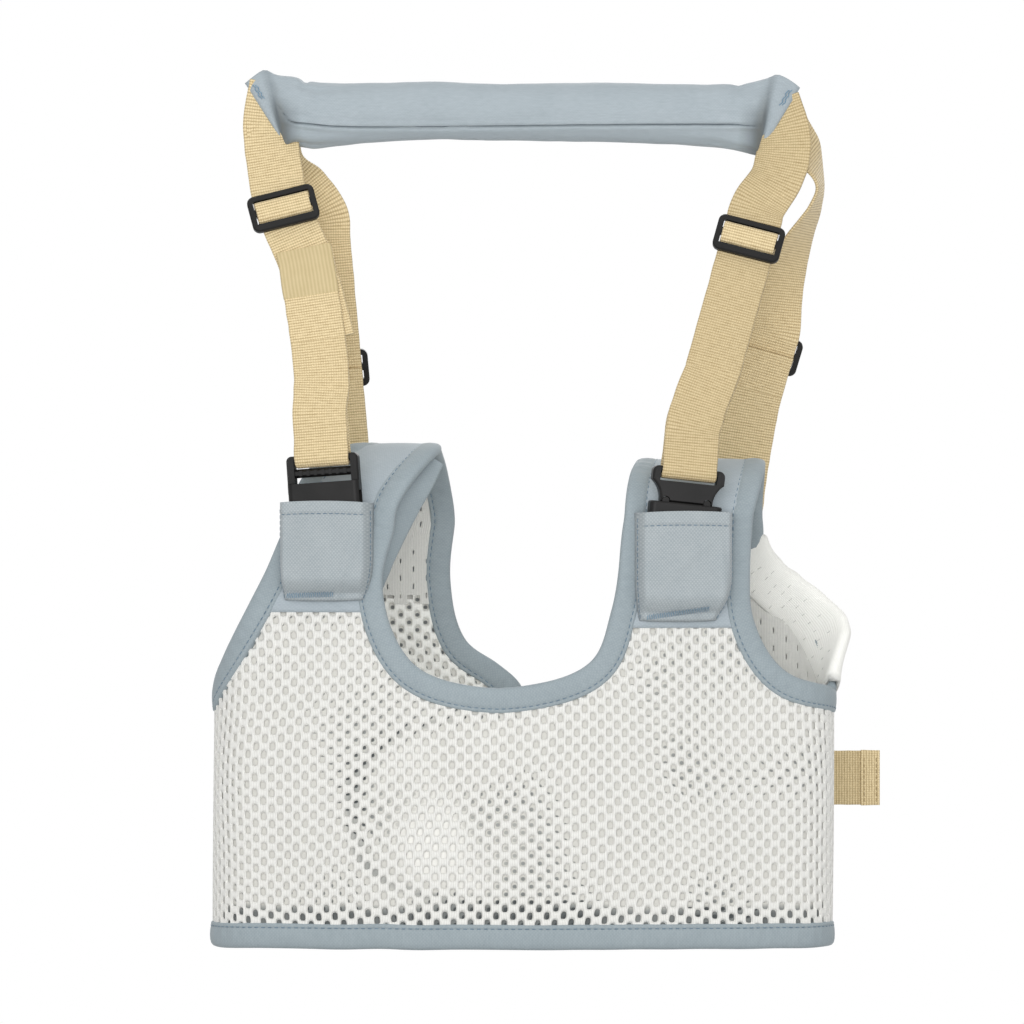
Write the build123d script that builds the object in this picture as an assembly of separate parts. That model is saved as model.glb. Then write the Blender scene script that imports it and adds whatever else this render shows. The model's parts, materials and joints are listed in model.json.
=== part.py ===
from build123d import *

import math
import os

# Toddler walking harness: a mesh vest that four webbing straps hang from a padded lifting handle.
# Millimetres. The origin is the middle of the handle grip, +Z is up, +Y is towards the wearer's back,
# and "left" and "right" are as seen from the front of the vest.

# Webbing, cloth and clearances
WEBBING_WIDTH = 25.0
WEBBING = 1.4  # thickness of one layer
CLOTH = 1.2  # thickness of the pocket cloth
RUN = 0.3  # gap beside anything that moves

# Handle
HANDLE_LENGTH = 206.0  # plump part
HANDLE_HEIGHT = 28.0
HANDLE_DEPTH = 25.0
SLEEVE = 1.6  # cloth sleeve over the foam
SLEEVE_FACETS = 16
FLAP_REACH = 14.0  # flattened sleeve end, beyond the plump part
FLAP_WIDTH = 34.0
FLAP_THICKNESS = 3.6
FLAP_TILT = 57.0  # end seam, degrees from the horizontal

# Vest: an oval tube, flat at front and back
VEST_WIDTH = 282.0
VEST_DEPTH = 84.0
SIDE_RADIUS = 26.0
PANEL = 3.0
PAD = 6.0
BINDING_WIDTH = 10.0
BINDING_PROUD = 1.0  # how far a binding stands out on each face of a panel
HEM_Z = -378.0
HEM_TOP = HEM_Z + BINDING_WIDTH
SPRING_Z = -186.0  # where the shoulders leave the panels
UNDERARM_Z = -262.0
YOKE_LEFT_Z = -227.0
YOKE_RIGHT_Z = -234.0
YOKE_BACK_Z = -236.0
BACK_MIDDLE = 10.0  # the back opening stands a little to the right
BACK_GAP = 16.0
LINING = 1.6
SHOULDER_STEPS = 8
TAPE_EASE = 0.15  # the shoulder's cloth stops this far short of its tapes

# Side-release buckles for the webbing
BUCKLE_SIDE = 4.0  # rail beside the webbing
BUCKLE_WIDTH = WEBBING_WIDTH + 2 * BUCKLE_SIDE
SOCKET_DEPTH = 9.5
SOCKET_BODY = 28.0
SOCKET_WALL = 1.45
GRIP_BAR = 4.0
END_BAR = 3.3
LADDER_SLOT = 2.6
PLUG_DEPTH = 6.5
PLUG_BASE = 16.0
PLUG_WAIST = 24.0
BAR_DEPTH = 4.0
TONGUE = 4.0
PRONG_ROOT_X = 9.5
PRONG_ROOT_Z = 0.7
PRONG_REACH = 21.5
PRONG_DEPTH = 5.2
LIP = 8.5  # solid mouth of the socket, in front of its side windows
SLOT_SPARE = 1.0  # slots are this much wider than the webbing
BAR_SPARE = 0.6  # slack of the webbing round a bar

# Slide adjusters
SLIDE_WIDTH = 31.0
SLIDE_HEIGHT = 17.0
SLIDE_DEPTH = 3.0
SLIDE_BAR = 3.2
SLIDE_TOP = 2.6
SLIDE_BOTTOM = 3.4

# Places
POCKET_CORNER = 2.6
BUCKLE_STAND_OFF = SOCKET_DEPTH / 2 + BINDING_PROUD + 0.4
BELT_Z = -304.0
BELT_TAIL_X = 162.0
BELT_SEWN = 30.0
LOOP_REACH = 20.0  # from a bar to where its two webbing layers come together

# Oval plan of the vest -------------------------------------------------------------------------------

HALF_WIDTH = VEST_WIDTH / 2
HALF_DEPTH = VEST_DEPTH / 2
SIDE_X = HALF_WIDTH - SIDE_RADIUS
BROAD_RADIUS = (SIDE_X**2 + HALF_DEPTH**2 - SIDE_RADIUS**2) / (2 * (HALF_DEPTH - SIDE_RADIUS))
BROAD_CENTRE = BROAD_RADIUS - HALF_DEPTH


def oval(offset):
    """Plan of the vest, its outer face moved outwards by offset."""
    side = SIDE_RADIUS + offset
    broad = BROAD_RADIUS + offset
    reach = math.hypot(SIDE_X, BROAD_CENTRE)
    x, y = SIDE_X + side * SIDE_X / reach, side * BROAD_CENTRE / reach
    front, end = broad - BROAD_CENTRE, SIDE_X + side
    return make_face(
        [
            ThreePointArc((-x, -y), (0, -front), (x, -y)),
            ThreePointArc((x, -y), (end, 0), (x, y)),
            ThreePointArc((x, y), (0, front), (-x, y)),
            ThreePointArc((-x, y), (-end, 0), (-x, -y)),
        ]
    )


def wall(outer, inner, low, high):
    """Ring of the vest's plan between two offsets and two heights."""
    return Pos(0, 0, low) * extrude(oval(outer) - oval(inner), high - low)


def depth_at(x):
    """Half depth of the vest's outer face at x, on its broad faces."""
    return math.sqrt(BROAD_RADIUS**2 - x**2) - BROAD_CENTRE


def slope_at(x):
    """Turn of the broad face about Z at x, in degrees, for the front; the back is the opposite."""
    return math.degrees(math.asin(x / BROAD_RADIUS))


def through(sketch, front):
    """An outline in X and Z, carried through the front half or the back half of the vest."""
    reach = HALF_DEPTH + SOCKET_DEPTH
    return extrude(Plane.XZ * sketch, reach if front else -reach)


# Panel outlines, in X and Z ---------------------------------------------------------------------------

ABOVE = SPRING_Z + 30  # edges run past the spring line, which then cuts them square
OUTSIDE = HALF_WIDTH + 20

FRONT_NECK = Spline(
    (-53, ABOVE),
    (-58.5, SPRING_Z),
    (-64.5, SPRING_Z - 31),
    (-50, SPRING_Z - 65),
    (-11, SPRING_Z - 76),
    (31, SPRING_Z - 64),
    (41, SPRING_Z - 40),
    (46.5, SPRING_Z),
    (51, ABOVE),
)
FRONT_ARMHOLE_LEFT = Spline(
    (-99, ABOVE),
    (-105.5, SPRING_Z),
    (-117.5, SPRING_Z - 26),
    (-(HALF_WIDTH - 6), UNDERARM_Z + 16),
    (-OUTSIDE, UNDERARM_Z - 2),
)
FRONT_ARMHOLE_RIGHT = Spline(
    (104, ABOVE),
    (103, SPRING_Z),
    (103, SPRING_Z - 42),
    (HALF_WIDTH - 22, UNDERARM_Z + 7),
    (OUTSIDE, UNDERARM_Z + 2),
)
BACK_NECK_LEFT = Spline(
    (-33, ABOVE),
    (-36, SPRING_Z),
    (-36, SPRING_Z - 24),
    (-27, SPRING_Z - 55),
    (BACK_MIDDLE - BACK_GAP / 2 + 4, SPRING_Z - 77),
)
BACK_NECK_RIGHT = Spline(
    (62, ABOVE),
    (59, SPRING_Z),
    (58, SPRING_Z - 24),
    (47, SPRING_Z - 55),
    (BACK_MIDDLE + BACK_GAP / 2 - 4, SPRING_Z - 77),
)
BACK_ARMHOLE_LEFT = Spline(
    (-86, ABOVE),
    (-92, SPRING_Z),
    (-104, SPRING_Z - 29),
    (-(HALF_WIDTH - 17), UNDERARM_Z + 19),
    (-OUTSIDE, UNDERARM_Z - 4),
)
BACK_ARMHOLE_RIGHT = Spline(
    (101, ABOVE),
    (102, SPRING_Z),
    (113, SPRING_Z - 20),
    (HALF_WIDTH - 6.5, SPRING_Z - 40),
    (HALF_WIDTH + 3, UNDERARM_Z),
)


def block(x0, x1, z0, z1):
    return Pos((x0 + x1) / 2, (z0 + z1) / 2) * Rectangle(x1 - x0, z1 - z0)


def hole_above(edge):
    """The neck hole: everything above an edge whose two ends stand at the same height."""
    start, end = edge @ 0, edge @ 1
    return make_face([edge, Line((end.X, end.Y), (start.X, start.Y))])


def hole_beside(edge, x):
    """An armhole or half neck: everything between an edge and an upright line at x."""
    start, end = edge @ 0, edge @ 1
    return make_face(
        [edge, Polyline((end.X, end.Y), (x, end.Y), (x, start.Y), (start.X, start.Y))]
    )


def band(edge):
    return trace(edge, 2 * BINDING_WIDTH)


# Vest panels and bindings ----------------------------------------------------------------------------

FRONT_BODY = block(-OUTSIDE, OUTSIDE, HEM_TOP, SPRING_Z)
FRONT_BODY -= hole_above(FRONT_NECK)
FRONT_BODY -= hole_beside(FRONT_ARMHOLE_LEFT, -OUTSIDE - 10)
FRONT_BODY -= hole_beside(FRONT_ARMHOLE_RIGHT, OUTSIDE + 10)

BACK_LEFT = block(-OUTSIDE, BACK_MIDDLE - BACK_GAP / 2, HEM_TOP, SPRING_Z)
BACK_LEFT -= hole_beside(BACK_NECK_LEFT, BACK_MIDDLE)
BACK_LEFT -= hole_beside(BACK_ARMHOLE_LEFT, -OUTSIDE - 10)
BACK_RIGHT = block(BACK_MIDDLE + BACK_GAP / 2, OUTSIDE, HEM_TOP, SPRING_Z)
BACK_RIGHT -= hole_beside(BACK_NECK_RIGHT, BACK_MIDDLE)
BACK_RIGHT -= hole_beside(BACK_ARMHOLE_RIGHT, OUTSIDE + 10)

PANEL_RING = wall(0, -PANEL, HEM_TOP, SPRING_Z)
BINDING_RING = wall(BINDING_PROUD, -PANEL - BINDING_PROUD, HEM_TOP, SPRING_Z)


def panel(outline, bands, front):
    """A panel of the vest between its bindings."""
    for edge in bands:
        outline -= band(edge)
    return PANEL_RING & through(outline, front)


def binding(outline, edge, front):
    """The tape folded over one edge of a panel."""
    return BINDING_RING & through(outline - (outline - band(edge)), front)


def front_panels():
    """Mesh front, and the woven yoke above it on each side."""
    edges = [FRONT_NECK, FRONT_ARMHOLE_LEFT, FRONT_ARMHOLE_RIGHT]
    yoke_left = block(-OUTSIDE, 0, YOKE_LEFT_Z, SPRING_Z)
    yoke_right = block(0, OUTSIDE, YOKE_RIGHT_Z, SPRING_Z)
    return {
        "front_mesh": panel(FRONT_BODY - yoke_left - yoke_right, edges, True),
        "front_yoke_left": panel(FRONT_BODY & yoke_left, edges, True),
        "front_yoke_right": panel(FRONT_BODY & yoke_right, edges, True),
    }


def back_panels():
    """Two mesh wings that leave the middle open, each with its yoke."""
    made = {}
    sides = {
        "left": (BACK_LEFT, [BACK_NECK_LEFT, BACK_ARMHOLE_LEFT]),
        "right": (BACK_RIGHT, [BACK_NECK_RIGHT, BACK_ARMHOLE_RIGHT]),
    }
    for side, (outline, edges) in sides.items():
        yoke = block(-OUTSIDE, OUTSIDE, YOKE_BACK_Z, SPRING_Z)
        made["back_mesh_" + side] = panel(outline - yoke, edges, False)
        made["back_yoke_" + side] = panel(outline & yoke, edges, False)
    return made


def chest_pad():
    """Soft pad quilted behind the front mesh."""
    outline = Pos(1.5, HEM_TOP + 50) * RectangleRounded(147, 84, 24)
    return wall(-PANEL, -PANEL - PAD, HEM_TOP, SPRING_Z) & through(outline, True)


def hem():
    """Bound lower edge, open at the middle of the back."""
    ring = wall(BINDING_PROUD, -PANEL - BINDING_PROUD, HEM_Z, HEM_TOP)
    opening = block(BACK_MIDDLE - BACK_GAP / 2, BACK_MIDDLE + BACK_GAP / 2, HEM_Z, HEM_TOP)
    return ring - through(opening, False)


# Shoulders: ribbons that arch from the front spring line to the back one ------------------------------


def solid_of(outlines):
    return Solid(Shell([Face(Wire.make_polygon(outline)) for outline in outlines]))


def through_rows(rows):
    """Solid through rows of corners, with flat triangles from each row to the next. Opposite sides of a
    row are split along the same diagonal, so that one strip laid on another meets it face to face."""
    outlines = [rows[0], rows[-1]]
    for a, b in zip(rows, rows[1:]):
        for k, corner in enumerate(a):
            n = (k + 1) % len(a)
            if k < len(a) // 2:
                outlines += [(corner, a[n], b[n]), (corner, b[n], b[k])]
            else:
                outlines += [(corner, a[n], b[k]), (a[n], b[n], b[k])]
    solid = solid_of(outlines)
    return solid if solid.volume > 0 else solid_of([outline[::-1] for outline in outlines])


def ribbon(stations, across, through_cloth):
    """A strip of cloth through stations, each a plane whose X runs across the strip and whose Y points
    inwards. across gives the strip's two edges at each station, through_cloth its two faces."""
    near, far = through_cloth
    rows = []
    for plane, (left, right) in zip(stations, across, strict=True):
        corners = ((left, near), (right, near), (right, far), (left, far))
        rows.append([plane.from_local_coords(Vector(*corner, 0)) for corner in corners])
    return through_rows(rows)


class Shoulder:
    """One shoulder arch: each end is the pair of its edges' X on the spring line."""

    def __init__(self, front, top, top_z, back):
        self.stations, self.halves = [], []
        height = top_z - SPRING_Z
        for step in range(SHOULDER_STEPS + 1):
            turn = math.pi * step / SHOULDER_STEPS
            end = front if step * 2 <= SHOULDER_STEPS else back
            share = math.sin(turn) ** 2
            low, high = (e + (t - e) * share for e, t in zip(end, top, strict=True))
            middle = (low + high) / 2
            drift = ((sum(top) - sum(end)) / 2) * math.sin(2 * turn)
            flush = ((high - low) / 2) ** 2 / (2 * BROAD_RADIUS)
            reach = depth_at(sum(end) / 2) - flush
            facing = 1 if end is front else -1
            yaw = math.radians(facing * slope_at(sum(end) / 2) * (1 - share))
            spot = (middle, -reach * math.cos(turn), SPRING_Z + height * math.sin(turn))
            along = Vector(drift, reach * math.sin(turn), height * math.cos(turn))
            across = Vector(math.cos(yaw), math.sin(yaw), 0)
            across -= along.normalized() * across.dot(along.normalized())
            self.stations.append(Plane(spot, x_dir=across, z_dir=along))
            self.halves.append((high - low) / 2)

    def strip(self, edges, faces):
        return ribbon(self.stations, [edges(half) for half in self.halves], faces)

    def between_tapes(self, half):
        reach = half - BINDING_WIDTH - TAPE_EASE
        return -reach, reach

    def cloth(self):
        return self.strip(self.between_tapes, (0, PANEL - LINING))

    def lining(self):
        return self.strip(self.between_tapes, (PANEL - LINING, PANEL))

    def tape(self, side):
        """Binding along the low-X edge (-1) or the high-X edge (+1)."""
        faces = (-BINDING_PROUD, PANEL + BINDING_PROUD)
        if side < 0:
            return self.strip(lambda h: (-h, BINDING_WIDTH - h), faces)
        return self.strip(lambda h: (h - BINDING_WIDTH, h), faces)


LEFT_SHOULDER = Shoulder((-105.5, -58.5), (-73, -38), -151.5, (-92, -36))
RIGHT_SHOULDER = Shoulder((46.5, 103), (52.5, 109), -158.5, (59, 102))


def shoulders():
    return {
        "shoulder_left": LEFT_SHOULDER.cloth(),
        "shoulder_right": RIGHT_SHOULDER.cloth(),
        "shoulder_lining_left": LEFT_SHOULDER.lining(),
        "shoulder_lining_right": RIGHT_SHOULDER.lining(),
    }


def bindings():
    """Neck tape and the tape of each armhole, each running over its shoulder."""
    neck = [
        binding(FRONT_BODY, FRONT_NECK, True),
        LEFT_SHOULDER.tape(+1),
        RIGHT_SHOULDER.tape(-1),
        binding(BACK_LEFT, BACK_NECK_LEFT, False),
        binding(BACK_RIGHT, BACK_NECK_RIGHT, False),
    ]
    left = [
        binding(FRONT_BODY, FRONT_ARMHOLE_LEFT, True),
        LEFT_SHOULDER.tape(-1),
        binding(BACK_LEFT, BACK_ARMHOLE_LEFT, False),
    ]
    right = [
        binding(FRONT_BODY, FRONT_ARMHOLE_RIGHT, True),
        RIGHT_SHOULDER.tape(+1),
        binding(BACK_RIGHT, BACK_ARMHOLE_RIGHT, False),
    ]
    return {
        "neck_binding": neck,
        "armhole_binding_left": left,
        "armhole_binding_right": right,
        "hem_binding": [hem()],
    }


# Handle ------------------------------------------------------------------------------------------------


def flap_plane(side):
    """Plane of the sleeve's end seam; its X runs up the seam and its Z points out of the sleeve."""
    tilt = math.radians(FLAP_TILT)
    out = Vector(side * math.sin(tilt), 0, -math.cos(tilt))
    up = Vector(side * math.cos(tilt), 0, math.sin(tilt))
    return Plane((side * (HANDLE_LENGTH / 2 + FLAP_REACH), 0, -2.0), x_dir=up, z_dir=out)


def sleeve_row(plane, height, depth):
    """Corners round the sleeve; the plane's X runs up it."""
    turns = [2 * math.pi * step / SLEEVE_FACETS for step in range(SLEEVE_FACETS)]
    spots = [Vector(height / 2 * math.cos(t), depth / 2 * math.sin(t), 0) for t in turns]
    return [plane.from_local_coords(spot) for spot in spots]


def turned_row(row):
    """The same corners as a plane that faces the other way would give."""
    return [row[0], *row[:0:-1]]


def handle():
    """Foam grip inside a sewn sleeve, whose two ends are flattened and seamed at a slant."""
    grip = Plane.YZ * Ellipse(HANDLE_DEPTH / 2 - SLEEVE, HANDLE_HEIGHT / 2 - SLEEVE)
    core = extrude(grip, HANDLE_LENGTH / 2 - 6, both=True)
    plump = HANDLE_LENGTH / 2 - 4
    rows = []
    for side in (-1, 1):
        flap = flap_plane(side)
        near = Plane((side * plump, 0, 0), x_dir=(0, 0, 1), z_dir=(side, 0, 0))
        ends = [sleeve_row(flap, FLAP_WIDTH, FLAP_THICKNESS), sleeve_row(near, HANDLE_HEIGHT, HANDLE_DEPTH)]
        rows += ends if side < 0 else [turned_row(row) for row in reversed(ends)]
    sleeve = through_rows(rows)
    return {"handle_sleeve": sleeve - core, "handle_foam": core}


# Side-release buckle -------------------------------------------------------------------------------------
# In its own frame Z = 0 is the socket's mouth, the plug's base stands above it and the socket below,
# X runs across the webbing and Y through the buckle, with +Y towards the wearer.

PLUG_BAR_Z = PLUG_BASE - END_BAR / 2
SOCKET_END_Z = -SOCKET_BODY - LADDER_SLOT - GRIP_BAR - LADDER_SLOT - END_BAR
SOCKET_BAR_Z = SOCKET_END_Z + END_BAR / 2
CAVITY_HALF = BUCKLE_WIDTH / 2 - BUCKLE_SIDE + 0.7
CAVITY_DEPTH = SOCKET_DEPTH - 2 * SOCKET_WALL
SLOT_WIDTH = WEBBING_WIDTH + SLOT_SPARE
PRONG_TIP_Z = -PRONG_REACH


def slab(sketch, depth):
    """A sketch in X and Z given an even depth about Y = 0."""
    return extrude(Plane.XZ * sketch, depth / 2, both=True)


def bar(z, height):
    """A webbing bar across the buckle with its long edges taken off."""
    section = chamfer(Rectangle(BAR_DEPTH, height).vertices(), height * 0.3)
    return extrude(Plane.YZ * Pos(0, z) * section, SLOT_WIDTH / 2 + 0.2, both=True)


def plug():
    """Waisted base with a webbing slot, the middle tongue and a seat for the root of each prong."""
    half, waist = BUCKLE_WIDTH / 2, PLUG_WAIST / 2
    right = [
        ThreePointArc((waist, 0), (waist + 0.8, PLUG_BASE * 0.3), (half, PLUG_BASE * 0.6)),
        Line((half, PLUG_BASE * 0.6), (half, PLUG_BASE - 3)),
        ThreePointArc(
            (half, PLUG_BASE - 3), (half - 0.8, PLUG_BASE - 0.8), (half - 3, PLUG_BASE)
        ),
    ]
    left = [mirror(edge, Plane.YZ) for edge in right]
    across = [Line((-waist, 0), (waist, 0)), Line((half - 3, PLUG_BASE), (3 - half, PLUG_BASE))]
    base = slab(make_face(right + left + across), PLUG_DEPTH)
    base = chamfer(base.faces().filter_by(Axis.Y).edges(), 0.9)
    slot_top = PLUG_BASE - END_BAR
    slot_low = slot_top - LADDER_SLOT - 0.6
    base -= slab(block(-SLOT_WIDTH / 2, SLOT_WIDTH / 2, slot_low, PLUG_BASE + 1), PLUG_DEPTH + 2)
    base += bar(PLUG_BAR_Z, END_BAR)
    for side in (-1, 1):
        seat = Pos(side * PRONG_ROOT_X, PRONG_ROOT_Z) * Circle(1.6 + RUN)
        base -= slab(seat, PLUG_DEPTH + 2)
    tongue = slab(block(-TONGUE / 2, TONGUE / 2, 3 - PRONG_REACH, 1), TONGUE)
    return base + chamfer(tongue.faces().sort_by(Axis.Z)[0].edges(), 0.8)


def prong(side):
    """Sprung arm: round root, slim arm, barb behind the socket's lip and a thumb pad in the window."""
    barb = -LIP - 0.45
    tip = PRONG_TIP_Z
    outline = Polyline(
        (8.3, 0.2),
        (8.5, tip + 1.2),
        (9.6, tip),
        (13.0, tip + 0.4),
        (15.9, tip + 4.6),
        (15.9, barb - 2.6),
        (15.0, barb),
        (12.0, barb),
        (11.0, 0.2),
        close=True,
    )
    face = make_face(outline) + Pos(PRONG_ROOT_X, PRONG_ROOT_Z) * Circle(1.6)
    arm = slab(face, PRONG_DEPTH)
    return arm if side > 0 else mirror(arm, Plane.YZ)


def socket():
    """Moulded sleeve with side windows, and a ladder lock at its end: a ribbed grip bar and an end bar."""
    half = BUCKLE_WIDTH / 2
    end = SOCKET_END_Z
    shell = slab(block(-half, half, -SOCKET_BODY, 0), SOCKET_DEPTH)
    shell = fillet(shell.edges().filter_by(Axis.Z), 2.6)
    shell = chamfer(shell.faces().sort_by(Axis.Z)[-1].edges(), 0.6)
    cavity_end = PRONG_TIP_Z - 2.0
    shell -= slab(block(-CAVITY_HALF, CAVITY_HALF, cavity_end, 1), CAVITY_DEPTH)
    for side in (-1, 1):
        near, far = sorted((side * (CAVITY_HALF - 1.5), side * (half + 1)))
        shell -= slab(block(near, far, cavity_end, -LIP), CAVITY_DEPTH)
    rails = slab(block(-half, half, end, 0.5 - SOCKET_BODY), 5.6)
    rails = fillet(rails.edges().filter_by(Axis.Y).group_by(Axis.Z)[0], 2.4)
    rails = chamfer(rails.faces().filter_by(Axis.Y).edges(), 0.7)
    rails -= slab(
        block(-SLOT_WIDTH / 2, SLOT_WIDTH / 2, end - 1, -SOCKET_BODY), SOCKET_DEPTH
    )
    grip_z = -SOCKET_BODY - LADDER_SLOT - GRIP_BAR / 2
    body = shell + rails + bar(grip_z, GRIP_BAR) + bar(SOCKET_BAR_Z, END_BAR)
    rib = Box(1.4, 0.9, GRIP_BAR - 1.6)
    for step in range(-3, 4):
        body += Pos(step * 3.4, -BAR_DEPTH / 2 + 0.1, grip_z) * rib
    return body


# Webbing ---------------------------------------------------------------------------------------------------


def stations_along(points, across):
    """Stations along points in Y and Z, each square to the way through it; across is the way of X."""
    spots = [Vector(0, y, z) for y, z in points]
    ways = [(b - a).normalized() for a, b in zip(spots, spots[1:])]
    turns = [a + b for a, b in zip([ways[0], *ways], [*ways, ways[-1]])]
    return [Plane(spot, x_dir=(across, 0, 0), z_dir=way) for spot, way in zip(spots, turns, strict=True)]


def strip_of(stations):
    half = WEBBING_WIDTH / 2
    return ribbon(stations, [(-half, half)] * len(stations), (-WEBBING / 2, WEBBING / 2))


def bight(bar_z, away):
    """Points round a bar from its outer side to the wearer's; away is the way that the webbing leaves,
    +1 up and -1 down."""
    radius = BAR_DEPTH / 2 + BAR_SPARE + WEBBING / 2
    turns = [math.pi * step / 4 for step in range(5)]
    return [(-radius * math.cos(t), bar_z - away * radius * math.sin(t)) for t in turns]


def round_bar(bar_z, away):
    """Stations of webbing that comes down to a bar, goes round it and leaves beside itself."""
    gap = (WEBBING + RUN) / 2
    far = bar_z + away * LOOP_REACH
    first, *turn, last = stations_along([(-gap, far), *bight(bar_z, away), (gap, far)], -away)
    ends = [Plane(p.origin, x_dir=p.x_dir, z_dir=(0, 0, w)) for p, w in ((first, -away), (last, away))]
    return [ends[0], *turn, ends[1]]


def sewn_tab(bar_z, away, seat_y, reach):
    """Webbing round a bar whose two layers are sewn together against the vest at y = seat_y."""
    far, flat, near = (bar_z + away * out for out in (reach, reach - 1.8, 1.8))
    inner, outer = seat_y - WEBBING / 2, seat_y - WEBBING * 1.5 - 0.1
    turn = bight(bar_z, away)
    path = [(outer, far), (outer, flat), (turn[0][0], near), *turn, (inner, flat), (inner, far)]
    return strip_of(stations_along(path, -away))


# Places on the vest ------------------------------------------------------------------------------------


def on_front(x, z, lean, stand_off):
    """Plane off the front of the vest: Y points inwards, Z up, its top leaning towards +X by lean."""
    turn, lean = math.radians(slope_at(x)), math.radians(lean)
    level = Vector(math.cos(turn), math.sin(turn), 0)
    out = Vector(math.sin(turn), -math.cos(turn), 0)
    spot = Vector(x, -depth_at(x), z) + out * stand_off
    up = Vector(0, 0, 1) * math.cos(lean) + level * math.sin(lean)
    across = level * math.cos(lean) - Vector(0, 0, 1) * math.sin(lean)
    return Plane(spot, x_dir=across, z_dir=up)


def on_back(x, z, lean, stand_off):
    """As on_front, off the back of the vest."""
    turn, lean = math.radians(slope_at(x)), math.radians(lean)
    level = Vector(math.cos(turn), -math.sin(turn), 0)
    out = Vector(math.sin(turn), math.cos(turn), 0)
    spot = Vector(x, depth_at(x), z) + out * stand_off
    up = Vector(0, 0, 1) * math.cos(lean) + level * math.sin(lean)
    across = level * math.cos(lean) - Vector(0, 0, 1) * math.sin(lean)
    return Plane(spot, x_dir=across * -1, z_dir=up)


def upside_down(plane):
    return Plane(plane.origin, x_dir=plane.x_dir * -1, z_dir=plane.z_dir * -1)


LEFT_BUCKLE = upside_down(on_front(-86.3, -196.3, -4.0, BUCKLE_STAND_OFF))  # socket up, plug in pocket
RIGHT_BUCKLE = on_front(72.0, -178.1, 6.0, BUCKLE_STAND_OFF)  # plug up, socket in pocket
BELT_BUCKLE = Plane(
    (BACK_MIDDLE - (SOCKET_END_Z + PLUG_BASE) / 2, HALF_DEPTH + BUCKLE_STAND_OFF, BELT_Z),
    x_dir=(0, 0, 1),
    z_dir=(1, 0, 0),
)
RING_HEIGHT = 16.0
RING_DEPTH = 3.2
RING_BAR = 3.5
RING_STAND_OFF = BAR_DEPTH / 2 + BAR_SPARE + WEBBING + BINDING_PROUD + 0.4
LEFT_RING = on_back(-78.0, -206.0, -4.0, RING_STAND_OFF)
RIGHT_RING = on_back(93.5, -209.0, 6.0, RING_STAND_OFF)


def pocket(x, low, high, width, foot_width, under):
    """Cloth pocket, open at the top, over the sewn half of a front buckle and what lies under it."""
    depth = BUCKLE_STAND_OFF + SOCKET_DEPTH / 2 + CLOTH + 0.4

    def body(spare, top):
        foot = 2 * WEBBING + 2 * CLOTH + BINDING_PROUD + 0.6
        heights = [
            (low + spare, foot_width, foot),
            (low + 6.5 + spare / 2, width - 1, depth),
            (top, width, depth),
        ]
        sections = []
        for z, across, out in heights:
            plane = on_front(x, z, 0, 0)
            outline = Rectangle(across - 2 * spare, out - spare + 4)
            middle = Pos(0, (spare - out + 4) / 2)
            sections.append(plane * middle * chamfer(outline.vertices(), POCKET_CORNER - spare / 2))
        return loft(sections, ruled=True)

    vest = Pos(0, 0, low - 5) * extrude(oval(0), high - low + 30)
    cover = body(0, high) - body(CLOTH, high + 3) - vest
    for piece in under:
        cover -= piece
    return cover


# Straps --------------------------------------------------------------------------------------------------


def strap_planes(points, across, facing):
    """Stations down a strap. facing is +1 in front and -1 behind, so that Y points at the wearer, and
    across gives the way that the width runs at a station, or None where it runs level."""
    planes = []
    for n, point in enumerate(points):
        before, after = points[max(n - 1, 0)], points[min(n + 1, len(points) - 1)]
        along = (Vector(*after) - Vector(*before)).normalized()
        if across[n]:
            width = Vector(*across[n]).normalized()
        else:
            level = Vector(-facing, 0, 0)
            width = (level - along * level.dot(along)).normalized()
        planes.append(Plane(point, x_dir=width, z_dir=along - width * along.dot(width)))
    return planes


def moved(plane, y):
    return Plane(plane.origin + plane.y_dir * y, x_dir=plane.x_dir, z_dir=plane.z_dir)


def flap_start(side, facing):
    """Where a strap leaves the handle's end seam: the front one ahead of the back one."""
    seam = flap_plane(side)
    spot = seam.origin + Vector(0, -facing * (WEBBING / 2 + 0.1), 0)
    up = seam.x_dir * (-side * facing)
    return Plane(spot, x_dir=up, z_dir=seam.z_dir)


def placed(place, station):
    return Plane(place.location * station.location)


def turned_back(plane):
    """The same station for webbing that runs the other way, one layer nearer the wearer."""
    near = moved(plane, WEBBING + RUN)
    return Plane(near.origin, x_dir=near.x_dir, z_dir=near.z_dir * -1)


class Strap:
    """Webbing from the handle to a bar and back up to the slide adjuster that it passes through. The
    straight run is one piece with what leads to it; the lower stretch, which gives when its end moves,
    is another: down to the bar, round it and up again."""

    def __init__(self, side, facing, lead, run, knee, slide_z, end):
        top, bottom = run
        start = flap_start(side, facing)
        points = [tuple(start.origin), *(point for point, _ in lead), top, bottom]
        widths = [None, *(width for _, width in lead), None, None]
        lead_planes = strap_planes(points, widths, facing)
        self.run = strap_planes([top, bottom], [None] * 2, facing)
        self.upper = [start, *lead_planes[1:-2], *self.run]
        place, bar_z, away = end
        self.bar = [placed(place, station) for station in round_bar(bar_z, away)]
        self.knee = strap_planes([bottom, knee, tuple(self.bar[0].origin)], [None] * 3, facing)[1]
        share = (slide_z - top[2]) / (bottom[2] - top[2])
        spot = self.run[0].origin + (self.run[1].origin - self.run[0].origin) * share
        self.slide = Plane(spot, x_dir=self.run[0].x_dir * -1, z_dir=self.run[0].z_dir * -1)

    def webbing(self):
        return strip_of(self.upper)

    def loop(self):
        back = [turned_back(plane) for plane in (self.knee, self.run[1])]
        return strip_of([self.run[1], self.knee, *self.bar, *back])

    def returning(self):
        """The layer that comes back up, behind the run, to the slide."""
        top = Plane(self.slide.origin, x_dir=self.run[0].x_dir, z_dir=self.run[0].z_dir)
        return strip_of([moved(plane, WEBBING + RUN) for plane in (top, self.run[1])])

    def on_slide(self, shape):
        return self.slide * Pos(0, -WEBBING / 2 - RUN, 0) * shape


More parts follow.
